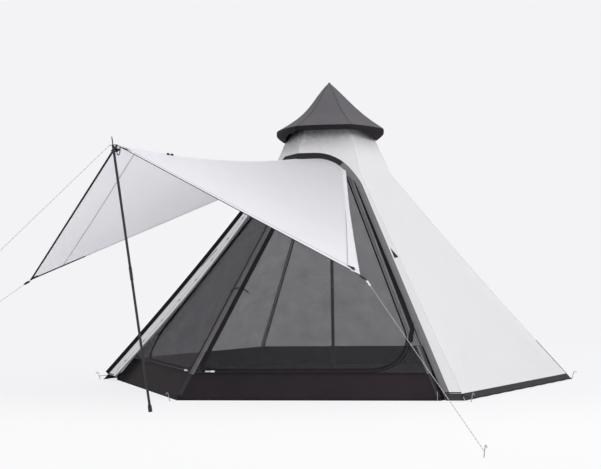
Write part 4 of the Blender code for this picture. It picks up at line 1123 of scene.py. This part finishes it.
def make_cap():
    """Six-sided cap: a draped skin with hollow facets, and a stiff brim that curls in at both sides."""
    crown = CAP_APEX_HEIGHT
    levels = 20
    heights = [crown - CAP_DEPTH * step / levels for step in range(1, levels + 1)]
    rings = [cap_ring(0.006, crown - 0.0005)]
    rings += [cap_ring(cap_radius(height) - 0.0008, height, hollow=CAP_FACET_HOLLOW) for height in heights]
    for height in reversed(heights[1:]):
        under = 0.001 if height > heights[-1] else 0.0
        rings.append(cap_ring(cap_radius(height) - 0.0022, height - under, hollow=CAP_FACET_HOLLOW))
    rings.append(cap_ring(0.015, crown - 0.060))
    around = [2.0 * math.pi * 0.2 * index / CAP_SIDES for index in range(CAP_SIDES)]
    skin = rings_mesh("cap_skin", rings, around, crease=50.0)
    piece = add_piece("cap_skin", skin, "cap_cloth", replaced=["vent_cap"])
    rings = []
    for out, down, curled in BRIM_SECTION:
        height = CAP_RIM_HEIGHT - SEAM_GAP - VALANCE_DROP * down
        side_drop = VALANCE_SIDE_DROP * down
        rings.append(cap_ring(CAP_RIM_RADIUS + out, height, side_drop, VALANCE_SIDE_CURL * curled))
    brim = rings_mesh("cap_brim", rings, around, closed_loop=True, crease=50.0)
    add_piece("cap_brim", brim, "dark_binding", replaced=["cap_rim_hoop"])
    for index, azimuth in enumerate(CORNERS.values()):
        path = [cap_point(cap_radius(height) - 0.0004, azimuth, height)
                for height in spaced(crown - 0.020, CAP_RIM_HEIGHT + 0.004, 20)]
        outward = polar(1.0, azimuth, 0.5).normalized()
        add_ribbon("cap_seam_%d" % index, path, outward, 0.008, "cap_seam", 0.0008)


# Inner tent


def round_corner(before, corner, after, radius, steps):
    corner = Vector(corner)
    back = (Vector(before) - corner).normalized()
    ahead = (Vector(after) - corner).normalized()
    half = back.angle(ahead) / 2.0
    reach = radius / math.tan(half)
    middle = corner + (back + ahead).normalized() * radius / math.sin(half)
    start = corner + back * reach - middle
    turn = start.angle_signed(corner + ahead * reach - middle)
    points = []
    for angle in spaced(0.0, -turn, steps):
        x = start.x * math.cos(angle) - start.y * math.sin(angle)
        y = start.x * math.sin(angle) + start.y * math.cos(angle)
        points.append(middle + Vector((x, y)))
    return points


class Doorway:
    """Outline of one mesh door in its face's frame, grown by a width, and the seam it turns on."""

    def __init__(self, name):
        self.name = name
        self.face = InnerFace(name)
        self.bottom = self.face.up(TUB_HEIGHT) + DOOR_BOTTOM_MARGIN
        self.top = self.face.up(DOOR_TOP)
        self.lean = math.atan2(self.face.half_base, self.face.slant)
        self.front = name == "front"
        tight = DOOR_TIGHT_RADIUS
        free = DOOR_CORNER_RADIUS
        if self.front:
            self.margins = (DOOR_HINGE_MARGIN, FRONT_DOOR_FREE_MARGIN)
            self.radii = (tight, free, tight, tight)
        else:
            self.margins = (LEFT_DOOR_FREE_MARGIN, DOOR_HINGE_MARGIN)
            self.radii = (free, tight, tight, tight)
        self.hinge_side = -1.0 if self.front else 1.0

    def edge(self, side, up, grow=0.0):
        """X of a slanted side at a distance up the face."""
        margin = self.margins[0 if side < 0.0 else 1] - grow
        return side * (self.face.half(up) - margin / math.cos(self.lean))

    def outline(self, grow=0.0, steps=12):
        low = self.bottom - grow
        high = self.top + grow
        places = ((-1.0, low), (1.0, low), (1.0, high), (-1.0, high))
        corners = [(self.edge(side, up, grow), up) for side, up in places]
        points = []
        for index, radius in enumerate(self.radii):
            around = corners[index - 1], corners[index], corners[(index + 1) % 4]
            points += round_corner(*around, radius + grow, steps)
        return points

    def band(self, name, section):
        """Closed band along the outline; its section lists growths and distances off the wall."""
        rings = [[self.face.place(*point, z) for point in self.outline(grow)] for grow, z in section]
        around = [0.02 * index for index in range(len(rings[0]))]
        return rings_mesh(name, rings, around, closed_loop=True)

    def span(self, up):
        """X of both sides of the rounded outline at a distance up the face."""
        points = self.outline(0.0, 16)
        hits = []
        for start, end in zip(points, points[1:] + points[:1]):
            if (start.y - up) * (end.y - up) <= 0.0 and abs(end.y - start.y) > 1e-9:
                hits.append(start.x + (end.x - start.x) * (up - start.y) / (end.y - start.y))
        return min(hits), max(hits)


def tub_ring(height, inset, ripple=0.0):
    """Points round the tub at a height, twelve to a side."""
    radius = INNER_CORNER_RADIUS * (1.0 - height / INNER_APEX_HEIGHT) - inset
    points = []
    for azimuth in CORNERS.values():
        first = polar(radius, azimuth, height)
        second = polar(radius, azimuth + 60.0, height)
        for share in spaced(0.0, 1.0, 12)[:-1]:
            point = first.lerp(second, share)
            wander = noise.noise(Vector((point.x * 4.0, point.y * 4.0, height * 9.0)))
            points.append(point + point.normalized() * ripple * wander)
    return points


def make_tub():
    """Tray floor with a low, slightly uneven wall, and the bindings at its top and foot."""
    walls = (0.012, 0.05, 0.09, 0.13)
    rings = [tub_ring(0.0, 0.0)]
    rings += [tub_ring(height, 0.0005, TUB_RIPPLE) for height in walls]
    rings += [tub_ring(TUB_HEIGHT, 0.0), tub_ring(TUB_HEIGHT, 0.002)]
    rings += [tub_ring(height, 0.0025, TUB_RIPPLE) for height in reversed(walls)]
    base = tub_ring(0.003, 0.004)
    rings.append(base)
    for share in (0.75, 0.5, 0.25, 0.04):
        rings.append([Vector((point.x * share, point.y * share, point.z)) for point in base])
    around = [2.0 * math.pi * index / len(base) for index in range(len(base))]
    tray = rings_mesh("tub_tray", rings, around, crease=45.0)
    piece = add_piece("tub_tray", tray, "tub_cloth", replaced=["tub_floor"])
    for name in FACES:
        face = InnerFace(name)
        up = face.up(TUB_HEIGHT)
        reach = face.half(up) - 0.002
        line = [face.place(x, up + 0.001, 0.0016) for x in spaced(-reach, reach, 12)]
        add_ribbon("tub_binding_" + name, line, face.outward, TUB_BINDING_WIDTH, "dark_binding", 0.0011)
        line = [face.place(x, 0.010, 0.0006) for x in spaced(-face.half(0.01), face.half(0.01), 12)]
        add_ribbon("tub_welt_" + name, line, face.outward, TUB_BINDING_WIDTH, "dark_binding", 0.0010)


def make_plain_walls():
    for name in FULL_PANELS:
        face = InnerFace(name)
        grid = []
        for up in spaced(face.up(TUB_HEIGHT) + SEAM_GAP, face.up(INNER_WALL_TOP), 30):
            row = []
            for share in spaced(-1.0, 1.0, 24):
                point = face.place(share * (face.half(up) - SEAM_GAP), up)
                ripple = 0.004 * noise.noise(point * 2.3) + 0.0012 * noise.noise(point * 7.0)
                row.append(point + face.outward * ripple * ease((1.0 - abs(share)) / 0.15))
            grid.append(row)
        add_sheet("mesh_wall_" + name, grid, face.outward, "insect_mesh", ["inner_wall_" + name],
                  thickness=MESH)


def make_door_wall(doorway, look):
    """Mesh wall round a doorway: a ring from the doorway's outline out to the wall's edges."""
    face = doorway.face
    inner = doorway.outline(DOOR_TAPE_WIDTH, 16)
    bottom = face.up(TUB_HEIGHT) + SEAM_GAP
    top = face.up(INNER_WALL_TOP)
    middle = Vector((0.0, (doorway.bottom + doorway.top) / 2.0))
    outer = []
    for point in inner:
        aim = point - middle
        level = top if aim.y > 0.0 else bottom
        reach = (level - middle.y) / aim.y if abs(aim.y) > 1e-6 else math.inf
        for side in (-1.0, 1.0):
            closing = side * aim.x + face.half_base / face.slant * aim.y
            if closing > 1e-6:
                reach = min(reach, (face.half(middle.y) - SEAM_GAP - side * middle.x) / closing)
        outer.append(middle + aim * reach)
    for side, up in ((-1.0, bottom), (1.0, bottom), (1.0, top), (-1.0, top)):
        corner = Vector((side * (face.half(up) - SEAM_GAP), up))
        nearest = min(range(len(outer)), key=lambda index: (outer[index] - corner).length)
        outer[nearest] = corner
    rings = []
    for z, share in ((0.0, 0.0), (0.0, 1.0), (MESH, 1.0), (MESH, 0.0)):
        rings.append([face.place(*(near.lerp(far, share)), z) for near, far in zip(inner, outer)])
    name = "mesh_wall_" + doorway.name
    around = [0.01 * index for index in range(len(inner))]
    mesh = rings_mesh(name, rings, around, closed_loop=True)
    piece = add_piece(name, mesh, look, replaced=["inner_wall_" + doorway.name])
    area = 0.0
    for index in range(len(inner)):
        after = (index + 1) % len(inner)
        area += abs((outer[after] - inner[index]).cross(outer[index] - inner[after])) / 2.0
    width = 2.0 * face.half(bottom)
    length = (top - bottom) * max(0.2, min(1.0, area / (0.32 * width * (top - bottom))))
    width = round(width, 2)
    length = round(length, 2)


def make_door_leaf(doorway, body, look):
    """Mesh door with its bound edge, gathered in soft pleats across it."""
    face = doorway.face
    grid = []
    for up in spaced(doorway.bottom + 0.0002, doorway.top - 0.0002, 48):
        low, high = doorway.span(up)
        row = []
        for share in spaced(0.0, 1.0, 64):
            pleat = DOOR_PLEAT_DEPTH * math.sin(share * math.pi * DOOR_PLEATS)
            pleat *= ease(min(share, 1.0 - share) / 0.08)
            row.append(face.place(low + (high - low) * share, up,
                                  0.0006 + pleat * ease((up - doorway.bottom) / 0.1)))
        grid.append(row)
    name = doorway.name + "_mesh_door"
    leaf = add_piece(name, sheet_mesh(name, grid, face.outward, 0.0, MESH), look, body,
                     ["front_door" if doorway.front else "left_front_door"])
    declare_sheet(leaf, grid)
    name = doorway.name + "_door_edge"
    bound = doorway.band(name, ((-0.0004, 0.0003), (-0.0004, 0.0028), (-0.0124, 0.0028), (-0.0124, 0.0003)))
    trim = add_piece(name, bound, "dark_binding", body)
    foot, head = [face.place(doorway.edge(doorway.hinge_side, up), up)
                  for up in (doorway.bottom, doorway.top)]
    across = (head - foot).normalized().cross(face.outward).normalized()
    for piece in (leaf, trim):
        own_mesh(piece)
        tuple(foot)


def make_door_tape(doorway):
    """Zip tape round a door, its coil, and the heavier band along the free side."""
    face = doorway.face
    name = doorway.name
    wide = DOOR_TAPE_WIDTH
    section = ((wide, 0.0004), (wide, 0.0016), (0.0008, 0.0016), (0.0008, 0.0004))
    mesh = doorway.band(name + "_zip_tape", section)
    add_piece(name + "_zip_tape", mesh, ("dark_binding", "zip_tape_grey"), replaced=[name + "_door_zip_tape"])
    to_face = face.frame.inverted()
    for polygon in mesh.polygons:
        spot = to_face @ polygon.center
        beside_flap = spot.x > 0.0 and spot.x > doorway.edge(1.0, spot.y) - 0.01
        if doorway.front and beside_flap and spot.y > doorway.bottom + DOOR_CORNER_RADIUS:
            polygon.material_index = 1
    line = [face.place(*point, 0.0018) for point in doorway.outline(wide / 2.0)]
    # The coil stops short of the corners on the hinge side, clear of the turning leaf
    zipped = line[9:40] if doorway.front else line[38:] + line[:17]
    add_zip_coil(name + "_zip_coil", zipped, face.outward, "dark_plastic", 0.0020, 0.004)
    ups = spaced(doorway.bottom + DOOR_CORNER_RADIUS * 0.9, doorway.top + 0.10, 30)
    out = FRONT_FLAP_REACH if doorway.front else LEFT_FLAP_REACH
    band = []
    for up in ups:
        x = doorway.edge(-doorway.hinge_side, up, out * ease((up - ups[0]) / 0.12))
        band.append(face.place(x, up, 0.0044))
    add_ribbon(name + "_zip_flap", band, face.outward, 0.032, "dark_binding", 0.0012)


def make_inner_seams():
    """Double seam tapes down the inner tent's ridges, from the peak to the ground."""
    for corner in CORNERS:
        width = FRONT_SEAM_WIDTH if corner in FRONT_CORNERS else REAR_SEAM_WIDTH
        for name in FACES:
            if corner not in FACES[name]:
                continue
            face = InnerFace(name)
            side = -1.0 if FACES[name][0] == corner else 1.0
            line = [face.place(side * (face.half(up) - width * 0.62), up, 0.0018)
                    for up in spaced(face.up(TUB_HEIGHT), face.up(INNER_WALL_TOP), 40)]
            add_ribbon("inner_seam_%s_%s" % (corner, name), line, face.outward, width, "mesh_seam", 0.0010)
            line = [face.place(side * (face.half(up) - 0.009), up, 0.0022)
                    for up in spaced(face.up(0.022), face.up(TUB_HEIGHT - 0.004), 10)]
            add_ribbon("tub_seam_%s_%s" % (corner, name), line, face.outward, TUB_SEAM_WIDTH, "skirt_cloth",
                       0.0010)


def make_door_tie():
    """Loop on the wall and toggle on the front door, either side of the seam that the door turns on."""
    face = InnerFace("front")
    up = face.up(DOOR_TIE_HEIGHT)
    parts = (("door_tie_loop", "tent", 0.0, 0.44), ("door_tie_toggle", "front_door", 0.62, 1.0))
    for name, body, start, end in parts:
        tie = []
        for share in spaced(start, end, 6):
            bend = 0.034 * math.sin(math.pi * share) - 0.016 * share
            x = DOOR_TIE_LENGTH * share - DOOR_TIE_SETBACK - face.half(up)
            tie.append(face.place(x, up + bend, 0.0075))
        add_tube(name, tie, 0.0042, "dark_binding", body=body)


def make_peak_collar():
    """Pleated collar that closes the walls round the pole."""
    base = INNER_WALL_TOP + SEAM_GAP
    bore = COLLAR_BORE
    outer = INNER_CORNER_RADIUS * (1.0 - base / INNER_APEX_HEIGHT) * math.cos(math.radians(30.0))
    section = ((bore, 0.0), (outer, 0.0), (outer * 0.97, 0.008), (outer * 0.72, 0.024),
               (outer * 0.6, COLLAR_HEIGHT), (bore, COLLAR_HEIGHT))
    rings = []
    for radius, rise in section:
        pleat = COLLAR_PLEAT if radius > bore else 0.0
        rings.append([polar(radius * (1.0 - pleat * (index % 2)), index * 360.0 / COLLAR_SIDES, base + rise)
                      for index in range(COLLAR_SIDES)])
    around = [0.005 * index for index in range(COLLAR_SIDES)]
    mesh = rings_mesh("peak_collar", rings, around, closed_loop=True, crease=55.0)
    add_piece("peak_collar", mesh, "dark_binding", replaced=["inner_peak_collar"])


def make_inner_tent():
    make_tub()
    make_plain_walls()
    for name, body, joint, look in (("front", "front_door", "front_door_swing", "insect_mesh"),
                                    ("left_front", "left_door", "left_door_swing", "dense_mesh")):
        doorway = Doorway(name)
        make_door_wall(doorway, look)
        make_door_leaf(doorway, body, look)
        make_door_tape(doorway)
    make_inner_seams()
    make_door_tie()
    make_peak_collar()


# Awning


def awning_root(name):
    """The arch's inner edge that a panel hangs from, from the ridge outwards."""
    return Arch(name).line(ARCH_TAPE_WIDTH + 0.0026, ARCH_SIDE_STEPS + AWNING_ROOT_STEP)[::-1]


def tip_tab_place():
    """Where the awning's tip tab lies round the pole's spike."""
    axis = (AWNING_TIP - AWNING_POLE_FOOT).normalized()
    outward = AWNING_TIP - polar(FLY_SHOULDER_RADIUS, CORNERS["front_left"], AWNING_TIP.z)
    outward -= axis * outward.dot(axis)
    return AWNING_TIP - outward.normalized() * TIP_EYE_SETBACK + axis * TIP_TAB_LIFT


class AwningPanel:
    """Half of the awning: along runs from the arch to the hem, across from the ridge outwards."""

    def __init__(self, side, face, corner):
        self.side = side
        self.corner = corner
        self.root = awning_root(face)
        self.tip = tip_tab_place()
        self.lean = (corner - self.tip).normalized()
        self.edge = self.root[-1] - self.root[0]
        self.outward = (self.root[-1] - self.tip).cross(self.corner - self.root[0])
        if self.outward.z < 0.0:
            self.outward.negate()
        self.outward.normalize()

    def point(self, along, across):
        spot = across * (len(self.root) - 1)
        low = min(int(spot), len(self.root) - 2)
        start = self.root[low].lerp(self.root[low + 1], spot - low)
        point = start.lerp(self.tip.lerp(self.corner, across), along)
        span = 4.0 * along * (1.0 - along)
        belly = 4.0 * across * (1.0 - across)
        point.z -= AWNING_RIDGE_SAG * span * (1.0 - across) + AWNING_PANEL_SAG * span * belly
        point -= self.lean * AWNING_EDGE_DRAW * span * across
        inset = (self.edge * (1.0 - along) + self.lean * along).normalized() * SEAM_GAP
        point += inset * (1.0 - 2.0 * across)
        held = ease(min(across, 1.0 - across) / 0.08) * ease(min(along, 1.0 - along) / 0.08)
        pull = corner_pull(point, self.tip, 0.40, 14.0, 0.003)
        if self.side == "right":
            pull += corner_pull(point, self.corner, 0.36, 18.0, 0.005)
        return point + self.outward * (pull + drape(point, 0.006, 1.3)) * held

    def line(self, start, end, steps=44):
        """Straight line between two (along, across) places, just under the cloth."""
        points = []
        for share in spaced(0.0, 1.0, steps):
            along, across = [first + (last - first) * share for first, last in zip(start, end)]
            points.append(self.point(along, across) + self.outward * (LIFT - TRIM_COVER))
        return points


# Trim sewn round the awning's cloth, and a painted shadow line inside the right rear hem, seen from both
# sides: name, (along, across) of its ends, width, look
AWNING_TRIM = {
    "right": (
        ("front_hem", (0.987, 0.0), (0.987, 1.0), 0.022, "hem"),
        ("front_seam", (0.972, 0.0), (0.972, 1.0), 0.006, "fly_seam"),
        ("front_edge", (0.998, 0.0), (0.998, 1.0), 0.010, "dark_binding"),
        ("rear_hem", (0.0, 0.988), (1.0, 0.972), 0.032, "hem"),
        # Painted shadow: a soft grey line inside the rear hem, where its wrinkles shade the cloth
        ("rear_seam", (0.25, 0.972), (0.99, 0.950), 0.006, "fly_seam"),
        ("ridge_seam", (0.0, 0.012), (1.0, 0.012), 0.012, "hem"),
        ("tip_patch", (0.972, 0.03), (1.0, 0.03), 0.036, "dark_binding"),
        ("corner_patch", (0.966, 0.966), (0.990, 0.966), 0.050, "dark_binding"),
    ),
    "left": (
        ("front_edge", (0.994, 0.0), (0.996, 1.0), 0.019, "dark_binding"),
        ("cross_seam", (0.902, 0.0), (0.877, 1.0), 0.007, "fly_seam"),
        ("rear_hem", (0.0, 0.985), (0.80, 0.985), 0.022, "hem"),
        ("rear_edge", (0.79, 0.990), (1.0, 0.990), 0.026, "dark_binding"),
        ("ridge_seam", (0.0, 0.012), (1.0, 0.012), 0.012, "hem"),
        ("tip_patch", (0.972, 0.03), (1.0, 0.03), 0.036, "dark_binding"),
        ("corner_patch", (0.974, 0.985), (0.999, 0.985), 0.034, "dark_binding"),
    ),
}


def make_awning():
    """Both panels with their hems, ridge seam, edge bindings, corner patches, ridge tabs and tip loop."""
    halves = (
        AwningPanel("right", "front", AWNING_RIGHT_CORNER),
        AwningPanel("left", "left_front", AWNING_LEFT_CORNER),
    )
    for half in halves:
        grid = [[half.point(along, across) for across in spaced(0.0, 1.0, 36)]
                for along in spaced(0.0, 1.0, 44)]
        add_sheet("awning_cloth_" + half.side, grid, half.outward, "awning_cloth",
                  ["awning_" + half.side + "_panel"])
        for label, start, end, width, look in AWNING_TRIM[half.side]:
            add_ribbon("awning_%s_%s" % (label, half.side), half.line(start, end), half.outward, width, look,
                       CLOTH + 2.0 * TRIM_COVER)
    ridge = halves[0]
    for index, along in enumerate(RIDGE_TAB_PLACES):
        spot = ridge.line((along, 0.006), (along + 0.008, 0.006), 2)
        add_ribbon("awning_ridge_tab_%d" % index, spot, ridge.outward, 0.016, "dark_binding", 0.013)
    rightwards = Vector((0.99, 0.14, 0.0))
    top = AWNING_TIP + rightwards * 0.022
    loop = []
    for turn in spaced(0.02, math.pi - 0.02, 16):
        drop = Vector((0.0, 0.0, 0.062 * math.sin(turn) ** 0.6))
        loop.append(top + rightwards * 0.011 * (1.0 - math.cos(turn)) - drop)
    add_ribbon("awning_tip_loop", loop, Vector((0.0, -1.0, 0.0)), 0.006, "dark_binding", 0.0016)


# Cords and webbing


def make_runner():
    """Line tensioner: a slim plastic bar with two swollen ends, threaded on the line."""
    start, end = GUY_ROUTES["right"]
    along = (end - start).normalized()
    centre = start + along * RUNNER_SETBACK
    across = Vector((0.0, 0.0, 1.0)).cross(along).normalized()
    lift = along.cross(across)
    half = RUNNER_HALF_LENGTH
    turns = [2.0 * math.pi * side / RUNNER_SIDES for side in range(RUNNER_SIDES)]

    def ring(reach, wide, thick):
        return [centre + along * reach + across * math.cos(turn) * wide + lift * math.sin(turn) * thick
                for turn in turns]

    rings = [ring(-half * share, wide, RUNNER_HALF_THICKNESS) for share, wide in RUNNER_OUTLINE]
    rings += [ring(half * share, wide, RUNNER_HALF_THICKNESS) for share, wide in reversed(RUNNER_OUTLINE)]
    rings += [ring(reach, RUNNER_BORE, RUNNER_BORE) for reach in (half, -half)]
    around = [0.001 * index for index in range(RUNNER_SIDES)]
    mesh = rings_mesh("line_runner", rings, around, closed_loop=True, crease=50.0)
    return add_piece("line_runner", mesh, "pale_plastic", "guy_runner", ["guy_runner_right"])


def make_guys():
    """Three taut lines from the awning's tabs to their pegs; the right one carries a runner."""
    runner = make_runner()
    for side, (start, end) in GUY_ROUTES.items():
        path = [start.lerp(end, share) for share in spaced(0.0, 1.0, 40)]
        cord = add_tube("guy_cord_" + side, path, GUY_DIAMETER / 2.0, "guy_cord", 8,
                        replaced=["guy_line_" + side])
        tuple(path[0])


def make_webbing():
    """Tabs and straps of folded webbing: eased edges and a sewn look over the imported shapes."""
    for name in WEBBING_NODES:
        node = bpy.data.objects[name]
        mesh = node.data.copy()
        mesh.name = name + "_webbing"
        mesh.materials.clear()
        mesh.transform(node.matrix_world)
        shape = bmesh.new()
        shape.from_mesh(mesh)
        sharp = [edge for edge in shape.edges
                 if edge.is_manifold and edge.calc_face_angle() > math.radians(50.0)]
        bmesh.ops.bevel(shape, geom=sharp, offset=0.0004, segments=2, profile=0.5, affect="EDGES",
                        clamp_overlap=True)
        layer = shape.loops.layers.uv.get("cut") or shape.loops.layers.uv.new("cut")
        for face in shape.faces:
            for loop in face.loops:
                loop[layer].uv = (loop.vert.co.z, loop.vert.co.x + loop.vert.co.y)
        shape.to_mesh(mesh)
        shape.free()
        add_piece(name + "_webbing", mesh, "dark_binding", replaced=[name])


def finish_cad_nodes():
    """Better finishes for the CAD nodes that stay: poles, pegs, sliders and feet."""
    for subpart in frame["record"]["subparts"]:
        finish = subpart["material_slot"]
        if finish not in CAD_FINISHES:
            continue
        mesh = frame["nodes"][subpart["node"]].data
        mesh.materials.clear()
        mesh.materials.append(LOOKS[finish])
        layer = mesh.uv_layers.get("cut") or mesh.uv_layers.new(name="cut")
        for loop in mesh.loops:
            spot = mesh.vertices[loop.vertex_index].co
            layer.data[loop.index].uv = (spot.z, spot.x + spot.y)


def main():
    bpy.context.scene.view_settings.view_transform = "Standard"
    make_camera()
    make_world()
    make_key_light()
    make_floor()
    make_looks()
    finish_cad_nodes()
    make_webbing()
    make_guys()
    make_fly_panels()
    make_skirts()
    make_arches()
    make_ridge_webbing()
    make_cap()
    make_inner_tent()
    make_awning()


main()
